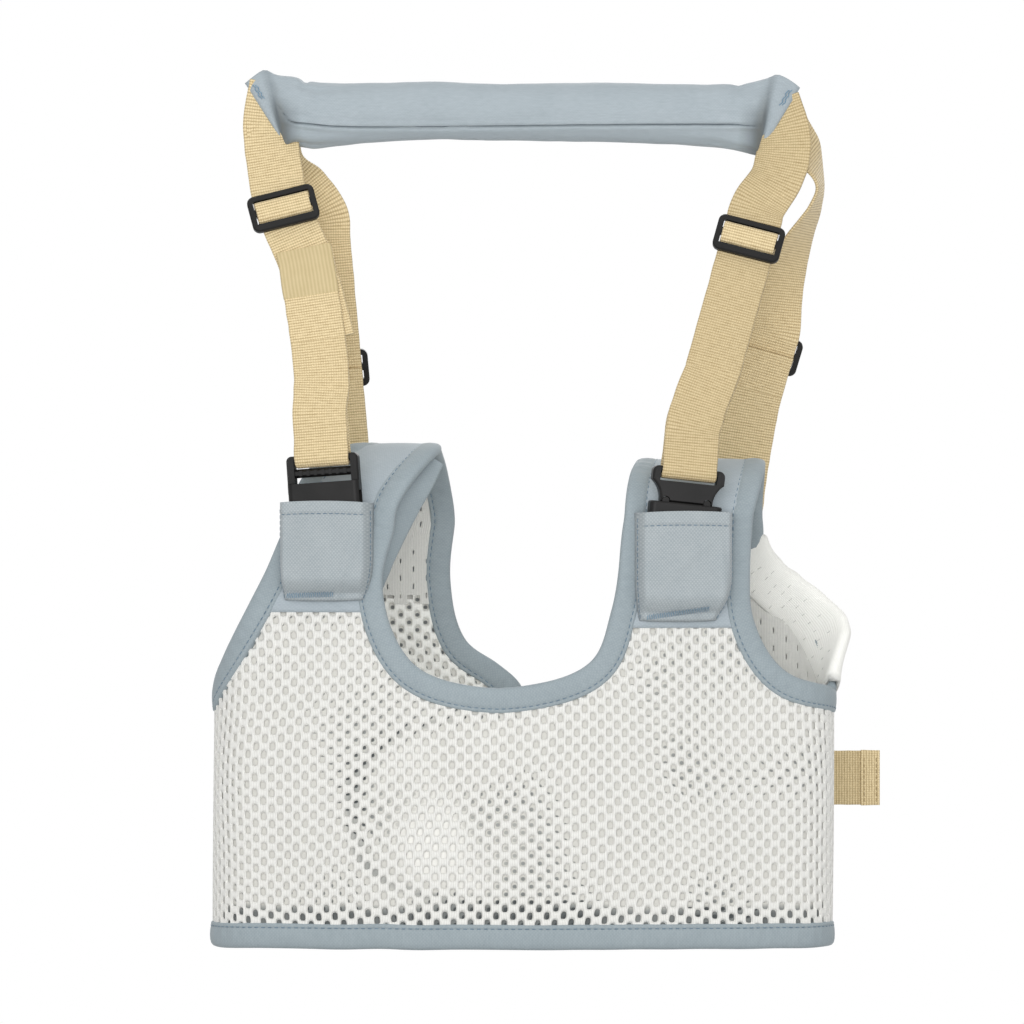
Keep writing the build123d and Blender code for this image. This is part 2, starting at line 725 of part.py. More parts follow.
def slide_adjuster():
    """Three-bar slide; its back is at Y = 0 and its middle bar at Z = 0."""
    high = SLIDE_BAR / 2 + (SLIDE_HEIGHT - SLIDE_TOP - SLIDE_BAR - SLIDE_BOTTOM) / 2 + SLIDE_TOP
    low = high - SLIDE_HEIGHT
    half = SLIDE_WIDTH / 2
    outline = fillet(block(-half, half, low, high).vertices(), 3.2)
    frame = extrude(Plane.XZ * outline, SLIDE_DEPTH)
    frame = chamfer(frame.faces().sort_by(Axis.Y)[0].edges(), 0.7)
    for z0, z1 in ((low + SLIDE_BOTTOM, -SLIDE_BAR / 2), (SLIDE_BAR / 2, high - SLIDE_TOP)):
        slot = extrude(Plane.XZ * block(-SLOT_WIDTH / 2, SLOT_WIDTH / 2, z0, z1), 2 * SLIDE_DEPTH, both=True)
        frame -= slot
    return frame


def slide_webbing():
    """The bight of webbing over the slide's middle bar."""
    half, out = SLIDE_BAR / 2, SLIDE_DEPTH
    around = Plane.YZ * Pos(-(out + WEBBING) / 2, 0) * Rectangle(out + WEBBING, 2 * (half + WEBBING))
    bight = extrude(around, WEBBING_WIDTH / 2, both=True)
    bight = fillet(bight.edges().filter_by(Axis.X).group_by(Axis.Y)[0], WEBBING)
    inside = Plane.YZ * Pos(-out / 2 + 1, 0) * Rectangle(out + 2, SLIDE_BAR)
    return bight - extrude(inside, SLOT_WIDTH / 2, both=True)


def ring():
    """Rectangular webbing ring that joins a back strap to the vest."""
    outline = chamfer(Rectangle(BUCKLE_WIDTH, RING_HEIGHT).vertices(), 2)
    frame = chamfer(slab(outline, RING_DEPTH).faces().filter_by(Axis.Y).edges(), 0.9)
    return frame - slab(Rectangle(SLOT_WIDTH, RING_HEIGHT - 2 * RING_BAR), 2 * RING_DEPTH)


RING_BAR_Z = (RING_HEIGHT - RING_BAR) / 2

STRAPS = {
    "front_left": Strap(
        side=-1,
        facing=1,
        lead=[
            ((-119.5, -4.2, -7.0), (-0.85, 0, 0.5)),
            ((-118.0, -7.0, -18.5), (-0.97, 0, 0.2)),
        ],
        run=((-111.0, -9.5, -36.0), (-92.5, -29.5, -104.0)),
        knee=(-90.0, -34.5, -122.0),
        slide_z=-44.6,
        end=(LEFT_BUCKLE, SOCKET_BAR_Z, -1),
    ),
    "front_right": Strap(
        side=1,
        facing=1,
        lead=[
            ((119.0, -4.2, -7.5), (-0.85, 0, -0.5)),
            ((115.5, -7.0, -19.0), (-0.97, 0, -0.2)),
        ],
        run=((109.0, -9.5, -35.0), (85.5, -34.5, -118.0)),
        knee=(80.0, -39.0, -132.0),
        slide_z=-58.5,
        end=(RIGHT_BUCKLE, PLUG_BAR_Z, 1),
    ),
    "back_left": Strap(
        side=-1,
        facing=-1,
        lead=[
            ((-118.5, 4.2, -7.5), (0.85, 0, -0.5)),
            ((-111.0, 7.5, -21.0), (0.97, 0, -0.2)),
        ],
        run=((-92.5, 10.5, -42.0), (-82.5, 34.0, -158.0)),
        knee=(-81.2, 37.5, -168.0),
        slide_z=-116.6,
        end=(LEFT_RING, RING_BAR_Z, 1),
    ),
    "back_right": Strap(
        side=1,
        facing=-1,
        lead=[
            ((123.5, 3.0, -7.0), (0.75, -0.15, 0.6)),
            ((132.0, 5.5, -15.0), (0.75, -0.6, 0.3)),
            ((137.0, 8.5, -28.0), (0.42, -0.9, -0.15)),
            ((134.5, 11.0, -41.0), (0.8, -0.5, -0.35)),
        ],
        run=((128.0, 14.0, -53.0), (106.5, 29.5, -126.0)),
        knee=(101.0, 36.0, -155.0),
        slide_z=-108.0,
        end=(RIGHT_RING, RING_BAR_Z, 1),
    ),
}


def straps():
    made = {}
    for name, strap in STRAPS.items():
        made["strap_" + name] = [strap.webbing()]
        made["strap_" + name + "_loop"] = [strap.loop()]
        made["strap_" + name + "_return"] = [strap.returning()]
        made["slide_" + name] = [strap.on_slide(slide_adjuster())]
        made["slide_" + name + "_webbing"] = [strap.on_slide(slide_webbing())]
    rings = (LEFT_RING, RIGHT_RING)
    made["back_rings"] = [place * ring() for place in rings]
    made["back_ring_tabs"] = [
        place * sewn_tab(-RING_BAR_Z, -1, RING_STAND_OFF - BINDING_PROUD - 0.1, 20) for place in rings
    ]
    return made


# Belt ----------------------------------------------------------------------------------------------------


def belt_station(x, out):
    """Station on the belt at x, the webbing's middle standing out from the back panel."""
    place = on_back(x, BELT_Z, 0, out)
    return Plane(place.origin, x_dir=(0, 0, 1), z_dir=place.x_dir * -1)


def free_station(x, y):
    return Plane((x, y, BELT_Z), x_dir=(0, 0, 1), z_dir=(1, 0, 0))


def belt():
    """Webbing sewn to each back wing; the right one runs through the plug and ends in a free tail."""
    y = HALF_DEPTH + BUCKLE_STAND_OFF
    apart = (WEBBING + RUN) / 2
    left_end = BELT_BUCKLE.origin.X + SOCKET_BAR_Z - LOOP_REACH
    right_end = BELT_BUCKLE.origin.X + PLUG_BAR_Z + LOOP_REACH
    sewn_out = 0.3 + WEBBING / 2
    sewn_left, sewn_right = left_end - 12, right_end + 14
    left = strip_of(
        [
            belt_station(sewn_left - BELT_SEWN, sewn_out),
            belt_station(sewn_left, sewn_out),
            free_station(left_end, y - apart),
        ]
    )
    left_return = strip_of(
        [belt_station(sewn_left, sewn_out + WEBBING), free_station(left_end, y + apart)]
    )
    right = strip_of(
        [
            free_station(right_end, y - apart),
            belt_station(sewn_right, sewn_out),
            belt_station(sewn_right + BELT_SEWN, sewn_out),
        ]
    )
    tail_y = y + apart - 2.0
    tail = strip_of(
        [free_station(right_end, y + apart), free_station(right_end + 35, tail_y), free_station(BELT_TAIL_X, tail_y)]
    )
    tail_hem = strip_of(
        [free_station(BELT_TAIL_X - 8, tail_y - WEBBING), free_station(BELT_TAIL_X, tail_y - WEBBING)]
    )
    return {
        "belt_webbing_left": [BELT_BUCKLE * strip_of(round_bar(SOCKET_BAR_Z, -1)), left, left_return],
        "belt_webbing_right": [BELT_BUCKLE * strip_of(round_bar(PLUG_BAR_Z, 1)), right, tail, tail_hem],
    }


# Buckles in their places ---------------------------------------------------------------------------------


def buckles():
    places = {"left_buckle": LEFT_BUCKLE, "right_buckle": RIGHT_BUCKLE, "belt_buckle": BELT_BUCKLE}
    made = {}
    for name, place in places.items():
        made[name + "_plug"] = [place * plug()]
        made[name + "_socket"] = [place * socket()]
        made[name + "_prong_a"] = [place * prong(-1)]
        made[name + "_prong_b"] = [place * prong(1)]
    seat = BUCKLE_STAND_OFF - BINDING_PROUD - 0.1
    made["left_buckle_tab"] = [LEFT_BUCKLE * sewn_tab(PLUG_BAR_Z, 1, seat, 8.4)]
    made["right_buckle_tab"] = [RIGHT_BUCKLE * sewn_tab(SOCKET_BAR_Z, -1, seat, 10.5)]
    tapes = bindings()
    left = [*tapes["neck_binding"][:2], *tapes["armhole_binding_left"][:2], LEFT_SHOULDER.cloth()]
    right_tapes = [*tapes["neck_binding"][::2][:2], *tapes["armhole_binding_right"][:2]]
    right = [*right_tapes, RIGHT_SHOULDER.cloth()]
    made["pocket_left"] = [pocket(-87.5, -221.4, -177.8, 41.0, 37.0, left)]
    made["pocket_right"] = [pocket(71.5, -230.4, -182.3, 44.0, 38.0, right)]
    return made


def as_list(shape):
    return shape if isinstance(shape, list) else [shape]


def main():
    pieces = {}
    groups = (front_panels, back_panels, shoulders, bindings, handle, straps, belt, buckles)
    for group in groups:
        pieces.update(group())
    pieces["chest_pad"] = chest_pad()
    os.makedirs("parts", exist_ok=True)
    for name, shape in pieces.items():
        solids = [solid for item in as_list(shape) for solid in item.solids()]
        export_step(Compound(children=solids), os.path.join("parts", name + ".step"))


if __name__ == "__main__":
    main()
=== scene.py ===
import json
import math

import bmesh
import bpy
import numpy as np
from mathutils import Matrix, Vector


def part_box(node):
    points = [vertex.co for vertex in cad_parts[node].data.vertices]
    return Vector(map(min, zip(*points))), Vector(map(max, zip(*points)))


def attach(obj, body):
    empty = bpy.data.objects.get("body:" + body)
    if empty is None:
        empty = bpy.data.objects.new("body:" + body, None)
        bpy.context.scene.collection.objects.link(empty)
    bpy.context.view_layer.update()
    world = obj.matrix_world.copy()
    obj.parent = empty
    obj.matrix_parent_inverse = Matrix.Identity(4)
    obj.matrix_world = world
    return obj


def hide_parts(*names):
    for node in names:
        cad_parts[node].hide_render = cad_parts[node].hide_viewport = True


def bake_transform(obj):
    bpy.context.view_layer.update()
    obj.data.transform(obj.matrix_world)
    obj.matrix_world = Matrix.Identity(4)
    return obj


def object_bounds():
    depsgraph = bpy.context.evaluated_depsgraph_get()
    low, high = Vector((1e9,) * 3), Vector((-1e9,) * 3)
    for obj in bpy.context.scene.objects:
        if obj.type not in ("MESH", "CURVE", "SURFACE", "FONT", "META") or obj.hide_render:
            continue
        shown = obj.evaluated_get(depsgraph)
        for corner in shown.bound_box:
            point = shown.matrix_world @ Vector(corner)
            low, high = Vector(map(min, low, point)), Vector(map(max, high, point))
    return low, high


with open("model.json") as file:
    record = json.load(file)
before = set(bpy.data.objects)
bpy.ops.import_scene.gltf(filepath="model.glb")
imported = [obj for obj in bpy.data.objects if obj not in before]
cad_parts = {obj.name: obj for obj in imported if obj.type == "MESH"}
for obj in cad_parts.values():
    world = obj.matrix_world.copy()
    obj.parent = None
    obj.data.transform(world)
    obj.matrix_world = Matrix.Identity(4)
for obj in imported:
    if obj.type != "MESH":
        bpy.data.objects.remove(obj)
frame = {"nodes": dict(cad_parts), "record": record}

bl_info = {
    "name": "Toddler walking harness",
    "version": (1, 0, 0),
    "blender": (4, 5, 0),
    "location": "View3D > Sidebar > Harness",
    "description": "Soft goods, webbing and finishes of a toddler walking harness over its CAD frame",
    "category": "Object",
}

CAD_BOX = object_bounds()
NODES = frame["nodes"]
JOINTS = {joint["name"]: joint for joint in frame["record"]["behaviour"]["joints"]}

# Places are in millimetres, in the frame of the CAD: X to the right, Y to the back, Z up.

SIDE_RADIUS = 26.0  # plan of the vest: an oval, flat at front and back
HALF_WIDTH = 141.0
HALF_DEPTH = 42.0
SIDE_X = HALF_WIDTH - SIDE_RADIUS
BROAD_RADIUS = (SIDE_X**2 + HALF_DEPTH**2 - SIDE_RADIUS**2) / (2 * (HALF_DEPTH - SIDE_RADIUS))
BROAD_CENTRE = BROAD_RADIUS - HALF_DEPTH
BROAD_TURN = math.atan2(SIDE_X, BROAD_CENTRE)
QUARTER = BROAD_RADIUS * BROAD_TURN + SIDE_RADIUS * (math.pi / 2 - BROAD_TURN)
PANEL = 3.0
HEM = -378.0
SPRING = -186.0  # where the shoulders leave the panels
SIDE_LAP = 9  # how far the outlines of the front and the back pass the side seam
WEB = 25.0  # webbing width
WEB_THICK = 1.4
LAYER = 1.7  # from one layer of webbing to the next
BIGHT = 2.0 + 0.6 + WEB_THICK / 2  # from the middle of a bar to the middle of the webbing round it


# Shapes in space -----------------------------------------------------------------------------------------


def unit(ways):
    ways = np.asarray(ways, float)
    return ways / np.maximum(np.linalg.norm(ways, axis=-1, keepdims=True), 1e-9)


def noise(*waves):
    """Even, seedless unevenness from -1 to 1: a sum of waves of the given phases."""
    total = 0
    for n, phase in enumerate(waves):
        total = total + np.sin(phase * (1 + 0.37 * n) + 1.7 * n + 0.9 * np.sin(phase * 0.53 + n))
    return total / len(waves)


def wall(s):
    """Plan place and outward way at s along the vest's outer face, from the middle front towards +X."""
    s = np.asarray(s, float)
    s = (s + 2 * QUARTER) % (4 * QUARTER) - 2 * QUARTER
    reach = np.abs(s)
    behind = reach > QUARTER
    reach = np.where(behind, 2 * QUARTER - reach, reach)
    broad = reach < BROAD_RADIUS * BROAD_TURN
    tight_turn = BROAD_TURN + (reach - BROAD_RADIUS * BROAD_TURN) / SIDE_RADIUS
    turn = np.where(broad, reach / BROAD_RADIUS, tight_turn)
    x = np.where(broad, BROAD_RADIUS * np.sin(turn), SIDE_X + SIDE_RADIUS * np.sin(turn))
    y = np.where(broad, BROAD_CENTRE - BROAD_RADIUS * np.cos(turn), -SIDE_RADIUS * np.cos(turn))
    side, face = np.where(s < 0, -1, 1), np.where(behind, -1, 1)
    return side * x, face * y, side * np.sin(turn), -face * np.cos(turn)


def along_wall(x, back=0):
    """The s of a place at x on the front, or on the back of the left (-1) or right (+1) half."""
    x = np.asarray(x, float)
    near = BROAD_RADIUS * np.arcsin(np.clip(np.abs(x) / BROAD_RADIUS, 0, 1))
    turn = np.arcsin(np.clip((np.abs(x) - SIDE_X) / SIDE_RADIUS, -1, 1))
    far = BROAD_RADIUS * BROAD_TURN + (turn - BROAD_TURN) * SIDE_RADIUS
    reach = np.sign(x) * np.where(np.abs(x) < BROAD_RADIUS * math.sin(BROAD_TURN), near, far)
    return back * 2 * QUARTER - reach if back else reach


def sway(s, z):
    """How far the hanging panels stand off the even oval."""
    free = np.clip((SPRING - 14 - z) / 60, 0, 1)
    soft = np.sin(s / 37 + z / 83) + 0.7 * np.sin(s / 21 - z / 49 + 1.3) + 0.4 * np.sin(s / 12.5 + z / 31)
    return 0.42 * free * soft


def on_wall(s, z, out):
    x, y, nx, ny = wall(s)
    out = out + sway(s, z)
    return np.stack([x + nx * out, y + ny * out, z + 0 * x], -1)


def drape(s, z):
    """Where places of the even knit go once it is sewn in and hangs: its rows rise and fall a little."""
    rise = 2.4 * np.sin(s / 41 + 0.8) + 1.3 * np.sin(s / 17 + z / 43)
    drift = 1.6 * np.sin(z / 27 + s / 60) + 0.8 * np.sin(z / 12 - s / 31)
    return s + drift, z + rise


def way_out(s):
    _, _, nx, ny = wall(s)
    return np.stack([nx, ny, 0 * nx], -1)


def smooth(points, step=1.5, place=3):
    """Places at even steps along a smooth curve through the given ones, whose first numbers are the place."""
    points = np.asarray(points, float)
    points = np.concatenate([2 * points[:1] - points[1:2], points, 2 * points[-1:] - points[-2:-1]])
    knots = np.cumsum(np.r_[0, np.sqrt(np.linalg.norm(np.diff(points[:, :place], axis=0), axis=1)) + 1e-6])
    dense = []
    for n in range(len(points) - 3):
        corners, t = points[n : n + 4], knots[n : n + 4]
        at = np.linspace(t[1], t[2], 24, endpoint=False)[:, None]

        def between(low, high, a, b):
            return low + (high - low) * (at - a) / (b - a)

        first = [between(corners[k], corners[k + 1], t[k], t[k + 1]) for k in range(3)]
        second = [between(first[k], first[k + 1], t[k], t[k + 2]) for k in range(2)]
        dense.append(between(second[0], second[1], t[1], t[2]))
    dense = np.concatenate([*dense, points[-2:-1]])
    return even(dense, step, place)


def even(points, step, place=3):
    """Places at even steps along a line of places, each with all its numbers."""
    reach = np.concatenate([[0], np.cumsum(np.linalg.norm(np.diff(points[:, :place], axis=0), axis=1))])
    count = max(int(round(reach[-1] / step)), 2)
    at = np.linspace(0, reach[-1], count + 1)
    return np.stack([np.interp(at, reach, column) for column in points.T], -1)


def travelled(points):
    return np.concatenate([[0], np.cumsum(np.linalg.norm(np.diff(points, axis=0), axis=1))])


def ways_along(points, closed=False):
    if closed:
        return unit(np.roll(points, -1, 0) - np.roll(points, 1, 0))
    return unit(np.gradient(points, axis=0))


# Meshes --------------------------------------------------------------------------------------------------


def piece(name, corners, faces, finish, slot, uv=None, body="harness", stands_for=()):
    """A piece from corners in millimetres, with its map in metres, its finish and the body it rides on."""
    name = f"sewn_{name}" if name in NODES else name
    mesh = bpy.data.meshes.new(name)
    mesh.from_pydata((np.asarray(corners, float) / 1000).tolist(), [], [list(map(int, f)) for f in faces])
    if uv is not None:
        layer = mesh.uv_layers.new(name="UVMap")
        turn = np.array([loop.vertex_index for loop in mesh.loops])
        layer.data.foreach_set("uv", (np.asarray(uv, float) / 1000)[turn].ravel())
    mesh.validate()
    mesh.update()
    mesh.shade_smooth()
    made = bpy.data.objects.new(name, mesh)
    bpy.context.scene.collection.objects.link(made)
    mesh.materials.append(FINISHES[finish])
    if body:
        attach(made, body)
    if stands_for:
        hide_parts(*stands_for)
    return made


def grid_faces(rows, columns, round_=False, start=0):
    """Four-cornered faces of a grid of rows and columns, closed round its columns if asked."""
    last = columns if round_ else columns - 1
    a = (np.arange(rows - 1)[:, None] * columns + np.arange(last)[None, :]).ravel()
    b = (np.arange(rows - 1)[:, None] * columns + (np.arange(last)[None, :] + 1) % columns).ravel()
    return np.stack([a, b, b + columns, a + columns], -1) + start


def finish_with(obj, kind, **settings):
    """Applies one modifier."""
    modifier = obj.modifiers.new(kind.title(), kind)
    for key, value in settings.items():
        setattr(modifier, key, value)
    bpy.ops.object.select_all(action="DESELECT")
    bpy.context.view_layer.objects.active = obj
    obj.select_set(True)
    bpy.ops.object.modifier_apply(modifier=modifier.name)
    obj.select_set(False)


def face_outwards(obj):
    made = bmesh.new()
    made.from_mesh(obj.data)
    bmesh.ops.recalc_face_normals(made, faces=made.faces)
    made.to_mesh(obj.data)
    made.free()


def solid(name, corners, faces, finish, slot, **more):
    """A closed piece with its faces turned outwards."""
    made = piece(name, corners, faces, finish, slot, **more)
    face_outwards(made)
    return made


def tube_faces(rows, columns, closed=False):
    """Faces of a tube of rows round its columns, with its ends filled, or joined to each other."""
    faces = grid_faces(rows, columns, True).tolist()
    last = (rows - 1) * columns
    if closed:
        return faces + [[last + n, last + (n + 1) % columns, (n + 1) % columns, n] for n in range(columns)]
    return faces + [list(range(columns))[::-1], [last + n for n in range(columns)]]


def tube(name, corners, section, along, finish, slot, closed=False, **more):
    """The corners of a cross-section that is carried along an edge, as one closed piece."""
    uv = np.stack(np.broadcast_arrays(travelled(section)[None], along[:, None]), -1).reshape(-1, 2)
    faces = tube_faces(*corners.shape[:2], closed)
    return solid(name, corners.reshape(-1, 3), faces, finish, slot, uv=uv, **more)


def ribbon(
    name, points, across, finish="webbing", width=WEB, thick=WEB_THICK, step=1.1, slot="webbing", **more
):
    """Webbing along places, each with the way that its width runs: a flat strip with rounded selvedges."""
    line = smooth(np.concatenate([points, unit(across)], -1), step)
    crisp = 0.06  # share of a step by which a second row of corners keeps each cut end crisp
    hems = [line[:1] + (line[1:2] - line[:1]) * crisp, line[-1:] + (line[-2:-1] - line[-1:]) * crisp]
    line = np.concatenate([line[:1], hems[0], line[1:-1], hems[1], line[-1:]])
    spots, widths = line[:, :3], unit(line[:, 3:])
    ahead = ways_along(spots)
    widths = unit(widths - ahead * (widths * ahead).sum(-1, keepdims=True))
    outs = np.cross(ahead, widths)
    half, deep = width / 2, thick / 2
    upper = [(-half, 0), (-half + 0.25, 0.72), (-half + 0.9, 1), (-half / 2, 0.94), (0, 1), (half / 2, 0.94)]
    upper += [(half - 0.9, 1), (half - 0.25, 0.72)]
    section = np.array(upper + [(-a, -b) for a, b in upper])
    section[:, 1] *= deep
    reach = travelled(spots)
    uneven = 1 + 0.012 * noise(reach / 2.3, reach / 3.1)
    corners = (
        spots[:, None]
        + widths[:, None] * (section[None, :, :1] * uneven[:, None, None])
        + outs[:, None] * section[None, :, 1:]
    )
    return tube(name, corners, section, reach, finish, slot, **more)


def mark(obj, name, amount):
    """Gives each corner of a piece a number that its finish reads: as "fold", how far painted shade darkens
    it where it lies in shade, deep in a fold, in a seam or turned from the light; as "gap", how freely it
    hangs before what is behind it, which its finish turns into painted shade."""
    values = obj.data.attributes.new(name, "FLOAT", "POINT")
    values.data.foreach_set("value", np.broadcast_to(amount, len(obj.data.vertices)).astype(np.float32))


def sweep(name, spots, outs, inwards, section, finish, slot, closed=False, pucker=0.0, **more):
    """A closed cross-section of (into the cloth, out of the cloth) carried along an edge."""
    reach = travelled(spots)
    section = np.asarray(section, float)
    into = np.clip(section[:, 0] / 4, 0, 1) * np.clip((9.5 - section[:, 0]) / 4, 0, 1)
    drawn = 1 + pucker * into[None] * noise(reach / 1.05, reach / 1.31 + 1)[:, None]
    shifted = section[None, :, 0] + 0.25 * noise(reach / 7.3, reach / 11)[:, None]
    corners = (
        spots[:, None]
        + inwards[:, None] * shifted[..., None]
        + outs[:, None] * (section[None, :, 1] * drawn)[..., None]
    )
    return tube(name, corners, section, reach, finish, slot, closed=closed, **more)


def stitches(name, spots, outs, pitch=3.0, radius=0.24, finish="thread", slot="vest_cloth"):
    """Thread along places: one small capsule for each stitch, lying on the cloth."""
    length, sides, steps = 2.1, 6, 4
    line = even(np.concatenate([spots, outs], -1), pitch / steps)
    corners, faces = [], []
    for n in range(2, len(line) - 2, steps):
        spot, out = line[n, :3], unit(line[n, 3:])
        ahead = unit(line[n + 2, :3] - line[n - 2, :3])
        beside = np.cross(ahead, out)
        start = len(corners)
        corners.append(spot - ahead * length / 2)
        for end in (-0.32, 0.32):
            for step in range(sides):
                turn = 2 * math.pi * step / sides
                wide = beside * math.cos(turn) + out * math.sin(turn)
                corners.append(spot + ahead * end * length + wide * radius)
        corners.append(spot + ahead * length / 2)
        for step in range(sides):
            a, b = start + 1 + step, start + 1 + (step + 1) % sides
            faces += [[start, b, a], [a, b, b + sides, a + sides], [a + sides, b + sides, len(corners) - 1]]
    solid(name, corners, faces, finish, slot)


# Outlines of the vest ------------------------------------------------------------------------------------

# Each edge is (x, z) of its places, the side seam given as None.
FRONT_NECK = [(-58.5, -186), (-64.5, -217), (-50, -251), (-11, -262), (31, -250), (41, -226), (46.5, -186)]
BACK_NECK_LEFT = [(2, -372), (2, -320), (2, -275), (-1.5, -262), (-12, -252.5), (-27, -241), (-34.5, -214)]
BACK_NECK_LEFT += [(-32, -186)]
BACK_NECK_RIGHT = [(59, -186), (58, -210), (47, -241), (31, -254), (21, -262), (18, -275), (18, -320)]
BACK_NECK_RIGHT += [(18, -372)]
FRONT_ARM_LEFT = [(-105.5, -186), (-117.5, -212), (-135, -246), (None, -263)]
FRONT_ARM_RIGHT = [(103, -186), (103, -228), (119, -255), (None, -263)]
BACK_ARM_LEFT = [(-92, -186), (-104, -215), (-124, -243), (None, -263)]
BACK_ARM_RIGHT = [(109.5, -186), (111, -203), (129.5, -223.5), (None, -260)]
# Where the perforated lining ends inside each panel and the mesh's inner face begins.
LINING_FOOT = {"front_mesh": -236.0, "back_mesh_left": -222.0, "back_mesh_right": -264.0}
YOKE = {"front_left": -227.0, "front_right": -234.0, "back_left": -236.0, "back_right": -236.0}


def edge(points, back=0):
    """An edge as (s, z) at even steps; the side seam lies a quarter round."""
    side = 1 if points[0][0] > 60 else -1
    spots = [(side * QUARTER if x is None else float(along_wall(x, back)), z) for x, z in points]
    return smooth(np.array(spots, float), place=2)


class Shoulder:
    """Arch over one shoulder; each end is the pair of its edges' x where it leaves the panel."""

    def __init__(self, front, top, top_z, back):
        self.front, self.top, self.rise, self.back = front, top, top_z - SPRING, back

    def station(self, turn):
        """Middle, way along, way across, way out and half width at a turn from 0 in front to pi behind."""
        turn = np.asarray(turn, float)
        ahead = turn <= math.pi / 2
        share = np.sin(turn) ** 2
        ends = [np.where(ahead, f, b) for f, b in zip(self.front, self.back)]
        low, high = (e + (t - e) * share for e, t in zip(ends, self.top))
        middle, half, mean = (low + high) / 2, (high - low) / 2, sum(ends) / 2
        drift = (sum(self.top) / 2 - mean) * np.sin(2 * turn)
        reach = np.sqrt(BROAD_RADIUS**2 - mean**2) - BROAD_CENTRE - half**2 / (2 * BROAD_RADIUS)
        yaw = np.where(ahead, 1, -1) * np.arcsin(mean / BROAD_RADIUS) * (1 - share)
        spot = np.stack([middle, -reach * np.cos(turn), SPRING + self.rise * np.sin(turn)], -1)
        along = unit(np.stack([drift, reach * np.sin(turn), self.rise * np.cos(turn)], -1))
        across = np.stack([np.cos(yaw), np.sin(yaw), 0 * yaw], -1)
        across = unit(across - along * (across * along).sum(-1, keepdims=True))
        return spot, along, across, np.cross(across, along), half, share

    def at(self, turn, beside, out):
        """Places on the arch, beside from -1 to 1 over its width and bowed as the panels are at its ends."""
        spot, _, across, outward, half, share = self.station(turn)
        bow = half**2 * (1 - beside**2) / (2 * BROAD_RADIUS) * (1 - share)
        crown = 0.8 * share * (1 - beside**2)
        return spot + across * (half * beside)[..., None] + outward * (bow + crown + out)[..., None]

    def edge(self, side):
        """Outer-face places and outward ways along one edge, from front to back."""
        turns = np.linspace(0, math.pi, 90)
        _, _, _, outward, _, _ = self.station(turns)
        return self.at(turns, np.full(len(turns), float(side)), np.zeros(len(turns))), outward


LEFT_SHOULDER = Shoulder((-105.5, -58.5), (-73, -38), -151.5, (-92, -32))
RIGHT_SHOULDER = Shoulder((46.5, 103), (52.5, 109.5), -158.5, (59, 109.5))


def within(outline, spots):
    """How far spots lie inside a closed outline of (s, z); outside it is negative."""
    here, there = outline, np.roll(outline, -1, 0)
    way = there - here
    share = ((spots[:, None] - here) * way).sum(-1) / np.maximum((way**2).sum(-1), 1e-9)
    near = here + way * np.clip(share, 0, 1)[..., None]
    away = np.linalg.norm(spots[:, None] - near, axis=-1).min(1)
    level = (here[:, 1] > spots[:, None, 1]) != (there[:, 1] > spots[:, None, 1])
    rise = np.where(np.abs(way[:, 1]) < 1e-9, 1e-9, way[:, 1])
    cut = here[:, 0] + (spots[:, None, 1] - here[:, 1]) * way[:, 0] / rise
    inside = (level & (spots[:, None, 0] < cut)).sum(1) % 2 == 1
    return np.where(inside, away, -away)


def front_outline():
    over = QUARTER + SIDE_LAP
    left, right = edge(FRONT_ARM_LEFT)[::-1], edge(FRONT_ARM_RIGHT)
    corners = [[(-over, HEM), (-over, -263)], left, edge(FRONT_NECK), right, [(over, -263), (over, HEM)]]
    return np.concatenate([np.asarray(c, float) for c in corners])


def back_outline(side):
    """Back wing from its middle edge round to just past the side seam."""
    neck = edge(BACK_NECK_LEFT if side < 0 else BACK_NECK_RIGHT[::-1], side)
    arm = edge(BACK_ARM_LEFT if side < 0 else BACK_ARM_RIGHT, side)
    over = side * (QUARTER - SIDE_LAP)
    foot = [(over, arm[-1][1]), (over, HEM), (neck[0][0], HEM)]
    return np.concatenate([neck, arm, np.asarray(foot, float)])


# A tile of knit, a hole of the air mesh and a slit of the lining: twelve places round each.
TILE = [(-2, 0), (-2, -1), (-2, -2), (0, -2), (2, -2), (2, -1)]
TILE = np.array(TILE + [(2, 0), (2, 1), (2, 2), (0, 2), (-2, 2), (-2, 1)]) / 4
HOLE = [(-1.46, 0), (-1.46, -1.0), (-1.1, -1.8), (0, -2.0), (1.1, -1.8), (1.46, -1.0)]
HOLE = np.array(HOLE + [(1.48, 0.1), (1.36, 1.1), (0.95, 1.8), (0, 2.08), (-0.95, 1.75), (-1.36, 1.0)])
SLIT = [(-0.3, 0), (-0.3, -0.7), (-0.22, -1.25), (0, -1.35), (0.22, -1.25), (0.3, -0.7)]
SLIT = np.array(SLIT + [(0.3, 0), (0.3, 0.7), (0.22, 1.25), (0, 1.35), (-0.22, 1.25), (-0.3, 0.7)])


